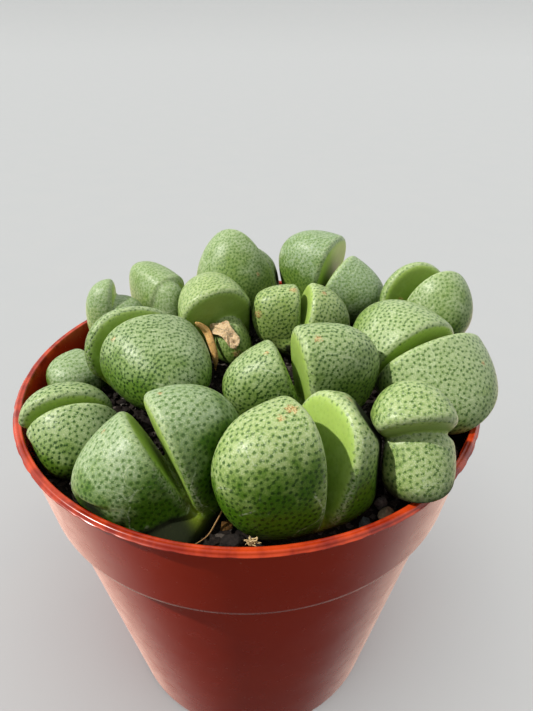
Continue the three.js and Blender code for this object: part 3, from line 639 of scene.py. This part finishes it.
# Leaf skin: a tough waxy cuticle, grown. Wax gives a pale matt bloom with a small soft highlight,
# the dots are clear windows on dark flesh, and the inner faces are smooth, juicy and bare of wax
def leaf_skin():
    material, add, shader, place = new_material("waxy_leaf_skin")
    read = {name: add("Attribute", dict(attribute_name=name)).outputs["Fac"] for name in (
        "inner_face", "rim", "height", "foot", "cleft_bottom", "scar", "dot_away", "dot_size",
        "dot_strength", "bloom", "yellow", "deep")}
    nearest = add("Attribute", dict(attribute_name="nearest_dot")).outputs["Vector"]

    # Patches 8 mm across, mottling of 2.5 mm, flecks of 0.5 mm and grain of 0.25 mm
    patches, mottle, flecks, grain = [
        add("TexNoise", {}, Vector=place, Scale=scale, Detail=detail, Distortion=distortion)
        for scale, detail, distortion in (
            (125, 2, 0), (400, 3, 0.4), (2000, 2, 0.5), (4000, 1, 0))]

    high = add("Math", "MULTIPLY_ADD", add("Math", "SUBTRACT", mottle, 0.5), 0.5, read["height"])
    high = add("Math", "MULTIPLY_ADD", add("Math", "SUBTRACT", patches, 0.5), 0.8, high)
    low = add("Math", "MULTIPLY", add("MapRange", SMOOTH, high, 0.94, 0.5), read["deep"])

    # Dots 0.3 to 0.7 mm across with uneven, soft edges
    wobble = add("TexNoise", {}, Vector=place, Scale=3000, Detail=1).outputs["Color"]
    shaken = add("VectorMath", "MULTIPLY_ADD", wobble, (0.0003,) * 3, place)
    shaken = add("VectorMath", "SUBTRACT", shaken, (0.00015,) * 3)
    away = add("VectorMath", "DISTANCE", shaken, nearest)
    chance = add("TexWhiteNoise", {}, add("VectorMath", "SCALE", nearest, Scale=1000))
    radius = add("MapRange", {}, chance, 0, 1, 0.00011, 0.00021)
    grown = add("Math", "MULTIPLY_ADD", low, 0.3, read["dot_size"])
    radius = add("Math", "MULTIPLY", radius, grown)
    dot = add("MapRange", SMOOTH, add("Math", "SUBTRACT", radius, away), -0.00009, 0.00005)
    dot = add("Math", "MULTIPLY", dot, add("MapRange", SMOOTH, read["dot_away"], 0.42, 0.34))
    between = add("MapRange", SMOOTH, read["dot_away"], 0.22, 0.6)

    face = add("Math", "MULTIPLY_ADD", mottle, 0.16, read["inner_face"])
    face = add("MapRange", SMOOTH, face, 0.62, 0.82)
    waxy = add("MapRange", SMOOTH, high, 0.35, 0.85, 0.1, 1)
    waxy = add("Math", "MULTIPLY", waxy, read["bloom"])

    # Colours high up and in the low zone: flesh seen through the cuticle, the same where it is
    # yellow, the paler net between the dots, flecks, grain and dots
    flesh, yellow, net, green, pale, dark = [add("Mix", COLOUR, low, *pair) for pair in (
        ("#5f7e3c", "#2d5805"), ("#86a03a", "#447006"), ("#a6b26c", "#93a832"),
        ("#587a38", "#2a4f08"), ("#b4bf98", "#a0b040"), ("#2a4a1a", "#122805"))]
    flesh = add("Mix", COLOUR, add("Math", "MULTIPLY", read["yellow"], 0.5), flesh, yellow)
    net = add("Mix", COLOUR, waxy, net, "#8b9c84")
    netted = add("Math", "MULTIPLY", add("MapRange", {}, between, 0, 1, 0.3, 0.95),
                 add("MapRange", {}, low, 0, 1, 0.85, 0.07))
    fleck = add("MapRange", SMOOTH, flecks, 0.46, 0.66, 0, 0.5)
    speck = add("MapRange", SMOOTH, grain, 0.5, 0.66, 0, 0.6)
    speck = add("Math", "MULTIPLY", speck, add("MapRange", {}, low, 0, 1, 1, 0.15))

    inner = add("Mix", COLOUR, read["height"], "#62880e", "#96ad58")
    blotch = add("MapRange", SMOOTH, mottle, 0.4, 0.75, 0, 0.5)
    inner = add("Mix", COLOUR, blotch, inner, "#98b35e")
    few = add("MapRange", SMOOTH, read["inner_face"], 0.6, 0.95, 1, 0.12)
    fade = add("MapRange", SMOOTH, mottle, 0.3, 0.7, 0.75, 1.1)
    dotted = add("Math", "MULTIPLY", add("Math", "MULTIPLY", dot, read["dot_strength"]),
                 add("Math", "MULTIPLY", few, fade))
    # The pale rim beside the cleft's edge: a painted highlight on the rounded edge, over a paler
    # band of skin
    edge = add("MapRange", SMOOTH, flecks, 0.35, 0.65, 0, 0.5)
    edge = add("Math", "MULTIPLY", read["rim"], edge)
    # Painted shade: the foot zone, low where the heads go down into the soil, is painted near black
    painted_foot_shade = add("Math", "MULTIPLY_ADD", mottle, 0.5, read["foot"])
    painted_foot_shade = add("MapRange", SMOOTH, painted_foot_shade, 0.4, 1.05)
    # Painted glow: the cleft's bottom is painted yellow-green over the painted shade of the foot,
    # as light through the leaves
    cleft = add("Math", "MULTIPLY", read["cleft_bottom"], 0.8)
    corky = add("Math", "MULTIPLY_ADD", add("Math", "SUBTRACT", flecks, 0.5), 2.2, read["scar"])
    corky = add("MapRange", SMOOTH, corky, 0.4, 1, 0, 0.65)
    cork = add("Mix", COLOUR, add("MapRange", SMOOTH, grain, 0.35, 0.65), "#94501c", "#c9ae7c")

    # Pale scratches up to 9 mm long where the wax is rubbed, 0.25 mm wide so that they show
    bend = add("TexNoise", {}, Vector=place, Scale=160).outputs["Color"]
    bent = add("VectorMath", "MULTIPLY_ADD", bend, (0.004,) * 3, place)
    border = add("TexVoronoi", dict(feature="DISTANCE_TO_EDGE"), Vector=bent, Scale=110)
    bare = add("Math", "ADD", face, painted_foot_shade)
    rubbed = add("MapRange", SMOOTH, border, 0.022, 0.006)
    for pattern, *limits in (
            (patches, 0.52, 0.62, 0, 0.45), (flecks, 0.35, 0.6), (bare, 1, 0)):
        rubbed = add("Math", "MULTIPLY", rubbed, add("MapRange", SMOOTH, pattern, *limits))

    # Each colour lies over the ones before it
    skin = flesh
    for share, over in (
            (netted, net), (fleck, green), (speck, pale), (face, inner), (dotted, dark),
            (edge, "#b9c795"), (painted_foot_shade, "#151b05"), (cleft, "#66780f"), (corky, cork),
            (rubbed, "#bcc8a4")):
        skin = add("Mix", COLOUR, share, skin, over)

    relief = add("Math", "MULTIPLY_ADD", dotted, -0.4, add("Math", "MULTIPLY", flecks, 0.35))
    relief = add("Math", "MULTIPLY_ADD", corky, 0.8, relief)
    bump = add("Bump", {}, Strength=0.35, Distance=0.00025, Height=relief)
    rough = add("MapRange", {}, waxy, 0, 1, 0.35, 0.42)
    rough = add("MapRange", {}, painted_foot_shade, 0, 1, rough, 0.9)
    glow = add("MapRange", {}, face, 0, 1, 0.1, 0.3)
    wire(shader, Base_Color=skin, Normal=bump, Roughness=rough, IOR=1.45, Specular_IOR_Level=0.25,
         Subsurface_Weight=glow, Subsurface_Radius=(0.8, 1, 0.25), Subsurface_Scale=0.003)
    return material


# Moulded polypropylene: smooth from the mould, with soft clear reflections, and at the lip painted
# paler and more orange, as a painted glow of light passing where it is thin
def pot_plastic():
    material, add, shader, place = new_material("moulded_polypropylene")
    height = add("SeparateXYZ", {}, place).outputs["Z"]
    # The lip, painted paler and more orange: painted glow of light passing through the plastic
    thin = add("MapRange", SMOOTH, height, 0.0925, 0.0936)
    # Clouds 22 mm across, dust of 1.4 mm, scuffs of 3 mm and waves of 17 mm
    cloud, dust, scuff, wave = [
        add("TexNoise", {}, Vector=place, Scale=scale, Detail=detail)
        for scale, detail in ((45, 4), (700, 3), (300, 5), (60, 1))]
    wall = add("Mix", COLOUR, cloud, "#962208", "#a22c0d")
    streaks = add("VectorMath", "MULTIPLY", place, (900, 900, 90))
    blotch = add("TexNoise", {}, Vector=streaks, Scale=0.25, Detail=4)
    blotch = add("MapRange", SMOOTH, blotch, 0.35, 0.65)
    base = add("Mix", COLOUR, thin, wall, add("Mix", COLOUR, blotch, "#801a04", "#b83c14"))
    speck = add("MapRange", SMOOTH, dust, 0.7, 0.78, 0, 0.2)
    base = add("Mix", COLOUR, speck, base, "#c9a58c")
    rough = add("MapRange", {}, scuff, 0, 1, 0.16, 0.34)
    bump = add("Bump", {}, Strength=0.2, Distance=0.0008, Height=wave)
    wire(shader, Base_Color=base, Roughness=rough, Normal=bump, IOR=1.5)
    return material


# Damp peat with grit: almost black, matt, in crumbs of 0.8 mm, with grains of 1.1 mm
def peat():
    material, add, shader, place = new_material("damp_peat")
    crumbs = add("TexNoise", {}, Vector=place, Scale=1200, Detail=6, Roughness=0.7)
    grit = add("TexVoronoi", {}, Vector=place, Scale=900).outputs["Color"]
    grey = add("MapRange", SMOOTH, add("SeparateColor", {}, grit), 0.75, 0.9)
    dry = add("MapRange", SMOOTH, crumbs, 0.35, 0.75)
    dark = add("Mix", COLOUR, dry, "#0b0806", "#2c231c")
    base = add("Mix", COLOUR, grey, dark, "#4a433c")
    bump = add("Bump", {}, Strength=0.8, Distance=0.0005, Height=crumbs)
    wire(shader, Base_Color=base, Normal=bump, Roughness=0.92, Specular_IOR_Level=0.2)
    return material


# Weathered pumice and gravel: dull and dusty, with pits of 0.7 mm
def gravel(name, low, high):
    material, add, shader, place = new_material(name)
    grain = add("TexNoise", {}, Vector=place, Scale=1500, Detail=5, Roughness=0.65)
    base = add("Mix", COLOUR, add("MapRange", {}, grain, 0.3, 0.7), low, high)
    bump = add("Bump", {}, Strength=0.6, Distance=0.0004, Height=grain)
    wire(shader, Base_Color=base, Normal=bump, Roughness=0.85, Specular_IOR_Level=0.2)
    return material


# Dead leaf and flower tissue: thin, papery and fibrous, a little see-through against the light
def dead_tissue(name, low, high, spot):
    material, add, shader, place = new_material(name)
    along, across, hollow = [
        add("Attribute", dict(attribute_name=attribute)).outputs["Fac"]
        for attribute in ("along", "across", "hollow")]
    along = add("Math", "MULTIPLY", along, 3)
    drawn_out = add("CombineXYZ", {}, along, add("Math", "MULTIPLY", across, 14))
    fibres = add("TexNoise", {}, Vector=drawn_out, Scale=1.6, Detail=4)
    spots = add("TexNoise", {}, Vector=place, Scale=900, Detail=4)
    base = add("Mix", COLOUR, add("MapRange", {}, fibres, 0.3, 0.7), low, high)
    base = add("Mix", COLOUR, add("MapRange", {}, spots, 0.55, 0.75, 0, 0.7), base, spot)
    # Painted shade: the flower's hollows are painted dark brown
    hollow = add("MapRange", {}, hollow, 0.4, 1, 0, 0.9)
    base = add("Mix", COLOUR, hollow, base, "#3a2a14")
    bump = add("Bump", {}, Strength=0.6, Distance=0.0003, Height=fibres)
    wire(shader, Base_Color=base, Normal=bump, Roughness=0.7, Subsurface_Weight=0.2,
         Subsurface_Radius=(1, 0.6, 0.3), Subsurface_Scale=0.001)
    return material


# Pot: the same profile as in the part, spun finely
def make_pot(material):
    step_foot = COLLAR_FOOT - STEP_DROP
    profile = [(0, 0), (FOOT_RADIUS - FOOT_CURVE, 0)]
    for turn in (15, 30, 45, 60, 75, 90):
        angle = math.radians(turn)
        profile.append((FOOT_RADIUS - FOOT_CURVE * (1 - math.sin(angle)),
                        FOOT_CURVE * (1 - math.cos(angle))))
    # The body's top, the step and the collar
    profile += [
        (BODY_RADIUS - 0.15, step_foot - 1.5), (BODY_RADIUS, step_foot - 0.2),
        (BODY_RADIUS + 0.25, step_foot), (COLLAR_RADIUS - 0.3, COLLAR_FOOT - 0.12),
        (COLLAR_RADIUS, COLLAR_FOOT + 0.2), (COLLAR_RADIUS + 0.12, COLLAR_FOOT + 1),
        (COLLAR_TOP - 0.12, LIP_EDGE - 1.6), (COLLAR_TOP, LIP_EDGE - 0.7)]
    # The lip, out and over its two beads
    profile += [(LIP_RADIUS - back, LIP_EDGE + up) for back, up in (
        (0.45, -0.3), (0.08, -0.12), (0, -0.05), (0, 0.03), (0.1, 0.08), (0.34, 0.2))]
    profile += [(LIP_RADIUS - back, LIP_TOP - down) for back, down in (
        (0.42, 0.35), (0.5, 0.14), (0.7, 0.02), (0.9, 0), (1.1, 0.09), (1.3, 0.1))]
    # The inside, from the lip down to the floor
    profile += [(lip_bore + out, LIP_TOP - down) for out, down in (
        (0.3, 0.02), (0.08, 0.12), (0, 0.5))]
    profile += [(float(inner_radius(z)), z) for z in (
        COLLAR_FOOT + WALL, step_foot, FLOOR + FOOT_CURVE)]
    profile += [(float(inner_radius(FLOOR)) - FOOT_CURVE, FLOOR), (0, FLOOR)]
    bm = spun([(r * MM, 0, z * MM) for r, z in profile], POT_STEPS)
    bmesh.ops.recalc_face_normals(bm, faces=bm.faces)
    for vert in bm.verts:
        at = vert.co / MM
        if math.hypot(at.x, at.y) > LIP_RADIUS - WORN_BAND:
            torn = max(0, noise.noise(at * 0.55) + 0.5 * noise.noise(at * 1.9))
            vert.co.xy *= 1 - WORN_DEPTH * torn / LIP_RADIUS
    pot = object_of(bm, "pot_wall")
    drill = bmesh.new()
    for k in range(DRAIN_HOLES):
        angle = math.tau * k / DRAIN_HOLES
        centre = (DRAIN_CIRCLE * MM * math.cos(angle), DRAIN_CIRCLE * MM * math.sin(angle), 0)
        bmesh.ops.create_cone(
            drill, cap_ends=True, segments=48, radius1=DRAIN_RADIUS * MM, radius2=DRAIN_RADIUS * MM,
            depth=4 * FLOOR * MM, matrix=Matrix.Translation(centre))
    tool = object_of(drill, "drain_holes")
    cut = pot.modifiers.new("drain_holes", "BOOLEAN")
    cut.object = tool
    cut.operation = "DIFFERENCE"
    cut.solver = "EXACT"
    settle(pot)
    bpy.data.objects.remove(tool)
    hand_in(pot, "pot_plastic", material, "pot")


def soil_height(x, y):
    waves = (np.sin(0.31 * x + 0.17 * y + 1.3) + np.sin(0.23 * y - 0.29 * x + 0.4)
             + 0.6 * np.sin(0.71 * x + 0.9) * np.sin(0.63 * y + 2.1))
    return LIP_EDGE - SOIL_DROP + SOIL_RELIEF * waves


def soil_radius(z):
    return float(inner_radius(z)) - SOIL_GAP


def make_soil(material):
    top = LIP_EDGE - SOIL_DROP
    profile = [(r, top) for r in np.arange(0, soil_radius(top), SOIL_STEP)]
    profile += [(soil_radius(z), z) for z in (
        top, top - 1, COLLAR_FOOT + WALL, COLLAR_FOOT - STEP_DROP, FLOOR + 2)]
    profile += [(soil_radius(FLOOR) - FOOT_CURVE, FLOOR + SOIL_GAP), (0, FLOOR + SOIL_GAP)]
    bm = spun([(r * MM, 0, z * MM) for r, z in profile], SOIL_TURNS)
    bmesh.ops.recalc_face_normals(bm, faces=bm.faces)
    for vert in bm.verts:
        x, y, z = vert.co / MM
        if z > top - 0.5:
            crumbs = noise.turbulence(Vector((x, y, 0)) * 0.9, 3, False) - 0.5
            vert.co.z = (float(soil_height(x, y)) + SOIL_CRUMB * crumbs) * MM
    hand_in(object_of(bm, "potting_soil"), "soil", material, "soil")


def smooth_path(points, share):
    """Places on a smooth curve through points, where share runs from 0 to 1 along it."""
    points = np.array(points, float)
    knots = np.vstack([2 * points[0] - points[1], points, 2 * points[-1] - points[-2]])
    at = np.clip(share, 0, 1) * (len(points) - 1)
    k = np.minimum(at.astype(int), len(points) - 2)
    t = (at - k)[:, None]
    a, b, c, d = (knots[k + i] for i in range(4))
    return 0.5 * (2 * b + (c - a) * t + (2 * a - 5 * b + 4 * c - d) * t ** 2
                  + (3 * b - a - 3 * c + d) * t ** 3)


def noise_at(points, scale, seed):
    shift = Vector((seed, 2 * seed, 3 * seed))
    return np.array([noise.noise(Vector(point) * scale + shift) for point in points])


def make_stone(name, slot, material):
    """A stone or crumb: a ball broken flat on a few sides, then worn rough."""
    stone = LUMPS[name]
    seed = stone["seed"]
    rng = np.random.default_rng(seed)
    bm = bmesh.new()
    bmesh.ops.create_icosphere(bm, subdivisions=5, radius=1)
    points = points_of(bm.verts)
    for _ in range(STONE_SIDES):
        side = rng.normal(size=3)
        side /= np.linalg.norm(side)
        over = np.maximum(0, points @ side - rng.uniform(*STONE_BROKEN))
        points -= over[:, None] * side * STONE_FLAT
    rough = 1 + STONE_WEAR * noise_at(points, 1.7, seed) + STONE_PITS * noise_at(points, 6, seed)
    points *= rough[:, None]
    points = points / np.abs(points).max(axis=0) * np.array(stone["size"]) / 2
    points = points @ turn_about("X", stone["lean"]).T @ turn_about("Z", stone["turn"]).T
    place_points(bm.verts, points + stone["at"] + (0, 0, LIP_EDGE))
    hand_in(object_of(bm, name + "_rough"), slot, material, name)


def scatter(name, slot, material, count, sizes, bodies, seed):
    """Grit on the soil, clear of the leaves and the pot."""
    rng = np.random.default_rng(seed)
    size = rng.uniform(*sizes, count)
    r = GRAIN_CIRCLE * np.sqrt(rng.uniform(0, 1, count))
    angle = rng.uniform(0, math.tau, count)
    places = np.stack([r * np.cos(angle), r * np.sin(angle), np.zeros(count)], axis=1)
    places[:, 2] = soil_height(places[:, 0], places[:, 1]) + GRAIN_LIFT * size
    clear = wall_form(places) + LIP_GAP < -0.5 * size - GRAIN_CLEAR
    for body in bodies:
        clear &= body["form"](body, to_own(body, places)) > 0.5 * size
    bm = bmesh.new()
    for at, wide in zip(places[clear], size[clear]):
        grow = Vector(rng.uniform(*GRAIN_FORM, 3) * wide / 2 * MM)
        turn = Matrix.Rotation(rng.uniform(0, math.tau), 4, Vector(rng.normal(size=3)).normalized())
        place = Matrix.Translation(Vector(at) * MM) @ turn @ Matrix.Diagonal(grow.to_4d())
        made = bmesh.ops.create_icosphere(bm, subdivisions=1, radius=1, matrix=place)["verts"]
        for vert in made:
            vert.co += Vector(rng.normal(size=3)) * GRAIN_ROUGH * wide * MM
    piece = object_of(bm, name)
    piece.data.shade_flat()
    hand_in(piece, slot, material)


def strip_place(points, share, across, wide, facing):
    """Places on a strip that follows a path and faces one way. Across runs from -1 to 1."""
    middle = smooth_path(points, share)
    ahead = smooth_path(points, share + 0.01) - smooth_path(points, share - 0.01)
    side = np.cross(ahead, facing)
    side /= np.linalg.norm(side, axis=1)[:, None]
    out = np.cross(side, ahead)
    out /= np.linalg.norm(out, axis=1)[:, None]
    return middle + side * (across * wide)[:, None], out


def make_sheath(material):
    """The dry leaf base beside the flower: a narrow curled strip that ends in a thread."""
    bm = bmesh.new()
    bmesh.ops.create_grid(bm, x_segments=70, y_segments=8, size=0.5)
    flat = points_of(bm.verts)
    share, across = flat[:, 0] + 0.5, 2 * flat[:, 1]
    wide = SHEATH_WIDE / 2 * np.interp(share, *zip(*SHEATH_FORM))
    places, out = strip_place(SHEATH_PATH, share, across, wide, SHEATH_FACES)
    rolled = SHEATH_ROLL * wide * (1 - across ** 2) + 0.12 * noise_at(flat * (9, 2, 1), 1, 3)
    places += out * rolled[:, None]
    place_points(bm.verts, places + (0, 0, LIP_EDGE))
    bmesh.ops.recalc_face_normals(bm, faces=bm.faces)
    sheath = object_of(bm, "dried_leaf_sheath")
    set_attributes(sheath.data, along=share * 12, across=across)
    finish_paper(sheath)
    hand_in(sheath, "dry_leaf", material, "dried_sheath")


def finish_paper(piece):
    shell = piece.modifiers.new("thickness", "SOLIDIFY")
    shell.thickness = PAPER * MM
    shell.offset = 0
    settle(piece)


def make_flower(leaf, material):
    """The withered flower: a crumpled papery scrap that lies over the small leaf."""
    bm = spun([(r, 0, 0) for r in np.linspace(0, 1, FLOWER_RINGS)], FLOWER_TURNS)
    flat = points_of(bm.verts)
    r = np.hypot(flat[:, 0], flat[:, 1])
    turn = np.arctan2(flat[:, 1], flat[:, 0]) / math.tau % 1
    edge = smooth_path(FLOWER_EDGE + FLOWER_EDGE[:1], turn)
    ragged = 1 - 0.12 * np.abs(noise_at(edge, 1.6, 2))
    spread = FLOWER_MIDDLE + (edge - FLOWER_MIDDLE) * (r * ragged)[:, None] + (0, 0, LIP_EDGE)
    rays = to_own(leaf, spread) - leaf["centre"]
    rays /= np.linalg.norm(rays, axis=1)[:, None]
    ground = pushed_out(leaf, rays)
    out = rays @ leaf["place"].T
    folds = noise_at(ground, 0.55, 5) + 0.5 * np.abs(noise_at(ground, 1.3, 7))
    folds += 0.25 * noise_at(ground, 3, 9)
    ridges = sum(
        0.5 * np.maximum(0, 1 - np.abs(turn - at) / wide) * r for at, wide in FLOWER_RIDGES)
    lift = 0.75 + 0.55 * folds + ridges + 0.3 * r ** 6
    # Hollows sink in, and the material paints them dark as shade
    hollow = np.zeros(len(ground))
    for hole in FLOWER_HOLES:
        gone = np.linalg.norm(spread - hole - (0, 0, LIP_EDGE), axis=1)
        hollow = np.maximum(hollow, np.clip(1.4 - gone / 0.45, 0, 1))
    places = ground + out * np.maximum(0.3, lift - 0.7 * hollow)[:, None]
    place_points(bm.verts, places)
    bmesh.ops.recalc_face_normals(bm, faces=bm.faces)
    flower = object_of(bm, "dried_flower_petals")
    set_attributes(flower.data, along=r * 4, across=turn * 9, hollow=hollow)
    finish_paper(flower)
    hand_in(flower, "dry_leaf", material, "dried_flower")


def make_strands(name, slot, material, strands, *nodes):
    """Thin round strands, each given as its path and its thickness."""
    curve = bpy.data.curves.new(name, "CURVE")
    curve.dimensions = "3D"
    curve.bevel_depth = MM / 2
    curve.bevel_resolution = 2
    curve.use_fill_caps = True
    share = np.linspace(0, 1, 16)
    for path, thickness in strands:
        places = (smooth_path(path, share) + (0, 0, LIP_EDGE)) * MM
        spline = curve.splines.new("POLY")
        spline.points.add(len(share) - 1)
        spline.points.foreach_set("co", np.c_[places, np.ones(len(share))].ravel())
        spline.points.foreach_set("radius", thickness * (1 - 0.6 * share ** 2))
    drawn = put_in_scene(name, curve)
    mesh = final_mesh(drawn)
    bpy.data.objects.remove(drawn)
    hand_in(put_in_scene(name, mesh), slot, material, *nodes)


def make_tuft(material):
    """A ragged knot of dry fibres caught at the lip."""
    rng = np.random.default_rng(11)
    strands = []
    for _ in range(TUFT_STRANDS):
        at = np.array(TUFT_AT) + rng.uniform((-0.5, -0.3, -0.5), (0.6, 0.3, 0.3))
        way = rng.normal(size=3) * (0.9, 0.4, 0.7)
        path = [at - way * 0.5, at + rng.normal(size=3) * 0.2, at + way * 0.4]
        path.append(at + way * 0.8 + rng.normal(size=3) * 0.3)
        strands.append((path, rng.uniform(0.12, 0.3)))
    make_strands("root_tuft_fibres", "root", material, strands, "root_tuft")


skin = leaf_skin()
leaves = {name: [make_leaf(head, side) for side in (1, -1)] for name, head in HEADS.items()}
bm = bmesh.new()
rays = rays_of(bmesh.ops.create_icosphere(bm, subdivisions=RAY_LEVEL, radius=1)["verts"])
bm.free()
press_together([leaf for pair in leaves.values() for leaf in pair], rays)
for name, head in HEADS.items():
    make_head(name, head, leaves[name], skin)
make_pot(pot_plastic())
make_soil(peat())
bodies = [body for name, pair in leaves.items() for body in [*pair, make_foot(HEADS[name], pair)]]
pumice = gravel("weathered_pumice", "#3b3835", "#6e6862")
make_stone("pebble_grey", "pebble", pumice)
make_stone("pebble_tan", "pebble", gravel("tan_gravel", "#5d5342", "#918369"))
make_stone("pebble_slate", "pebble", gravel("slate_gravel", "#272c2c", "#474f4f"))
make_stone("soil_clod", "soil", gravel("dry_peat_clod", "#0b0907", "#241e1a"))
make_stone("leaf_scrap", "dry_leaf", gravel("rotted_leaf", "#2c1d0c", "#6b4a1c"))
peat_crumb = gravel("peat_crumb", "#080605", "#231b15")
scatter("peat_crumbs", "soil", peat_crumb, 1500, (0.5, 1.8), bodies, 21)
scatter("grit_grains", "soil", pumice, 420, (0.35, 1.1), bodies, 22)
perlite = gravel("pale_perlite", "#8b857a", "#c9c3b6")
scatter("pale_grains", "soil", perlite, 40, (0.3, 0.7), bodies, 23)
make_flower(leaves["head_with_dry_flower"][1],
            dead_tissue("withered_petal", "#b18c5e", "#e0c7a2", "#7a4c26"))
make_sheath(dead_tissue("dead_leaf_sheath", "#c88a3a", "#f0c684", "#7a4c18"))
root = dead_tissue("brown_root", "#6b4a22", "#a07a44", "#3a2510")
make_strands("root_fibre_thread", "root", root, [(FIBRE_PATH, 0.32)], "root_fibre")
make_tuft(dead_tissue("dry_root_fibre", "#9a7b4a", "#d8bd8c", "#5a4018"))

# Floor and backdrop: one pale sheet that curves up behind
sheet_paper, add, paper_shader, place = new_material("matt_paper_sweep")
mottle = add("TexNoise", {}, Vector=place, Scale=30)
wire(paper_shader, Base_Color=add("Mix", COLOUR, mottle, "#a9aaa9", "#acacaa"), Roughness=0.9)
bm = bmesh.new()
sweep = [(-3, 0), (3, 0)]
sweep += [(3 + 1.5 * math.sin(a), 1.5 - 1.5 * math.cos(a)) for a in np.radians(np.arange(6, 91, 6))]
sweep += [(4.5, 3)]
line = [bm.verts.new((-4, y, z)) for y, z in sweep]
edges = [bm.edges.new(pair) for pair in zip(line, line[1:])]
made = bmesh.ops.extrude_edge_only(bm, edges=edges)["geom"]
bmesh.ops.translate(bm, verts=[g for g in made if isinstance(g, bmesh.types.BMVert)], vec=(8, 0, 0))
floor = object_of(bm, "floor")
floor.data.materials.append(sheet_paper)

# Camera
camera = put_in_scene("camera", bpy.data.cameras.new("camera"))
camera.data.sensor_width = SENSOR
camera.data.lens = FOCAL_PIXELS / PHOTO_HEIGHT * SENSOR
camera.data.clip_start = 0.005
axes = Matrix((VIEW_RIGHT, VIEW_UP, VIEW_BACK)).transposed()
camera.matrix_world = Matrix.Translation(Vector(EYE) * MM) @ axes.to_4x4()
bpy.context.scene.camera = camera

# Light: a key from the left on the pot and plants, two broad ones on the paper, one of them without
# shadows, and a room that is dim on the front side
def sunlight(name, energy, spread, direction, colour, pieces, shadows=True):
    light = put_in_scene(name, bpy.data.lights.new(name, "SUN"))
    light.data.energy = energy
    light.data.angle = math.radians(spread)
    light.data.color = colour
    light.rotation_euler = Vector(direction).to_track_quat("Z", "Y").to_euler()
    lit = bpy.data.collections.new(name + "_lights")
    for piece in pieces:
        lit.objects.link(piece)
    light.light_linking.receiver_collection = lit
    if not shadows:
        light.light_linking.blocker_collection = bpy.data.collections.new(name + "_stopped_by")


pieces = [
    piece for piece in bpy.context.scene.objects if piece.type == "MESH" and piece is not floor]
sunlight("key", 4.6, 1.5, (-0.67, -0.05, 0.74), (1, 0.97, 0.92), pieces)
sunlight("broad", 0.6, 60, (-0.45, -0.2, 0.85), (1, 1, 1), [floor])
sunlight("all_round", 2.25, 60, (0, -0.3, 0.95), (1, 1, 1), [floor], shadows=False)
floor.visible_diffuse = False
floor.visible_glossy = False

# The room: light from above, from behind and from both sides, a little more from the right, and
# most, and warm, from low behind on the left
world = bpy.data.worlds.new("room")
world.use_nodes = True
add = partial(node, world.node_tree)
x, y, z = add("SeparateXYZ", {}, add("TexCoord", {})).outputs
top = add("MapRange", SMOOTH, z, -0.3, 1, 0.06, 0.62)
back = add("MapRange", SMOOTH, y, 0.1, 0.9, 0, 0.5)
side = add("MapRange", SMOOTH, add("Math", "ABSOLUTE", x), 0.35, 0.95, 0, 0.6)
right = add("MapRange", SMOOTH, x, 0, 0.9, 0, 0.3)
right = add("Math", "MULTIPLY", right, add("MapRange", SMOOTH, z, -0.3, 0.2))
beyond = add("MapRange", SMOOTH, y, -0.1, 0.42, 0, 1.15)
for axis, *limits in ((z, -0.1, -0.5), (x, 0.2, -0.3, 0.95, 1.3)):
    beyond = add("Math", "MULTIPLY", beyond, add("MapRange", SMOOTH, axis, *limits))
strength = top
for part in (back, side, right, beyond):
    strength = add("Math", "ADD", strength, part)
background = world.node_tree.nodes["Background"]
tint = add("Mix", COLOUR, beyond, "#f4f6f7", "#f4dccb")
wire(background, Color=tint, Strength=strength)
bpy.context.scene.world = world
bpy.context.scene.view_settings.view_transform = "Standard"
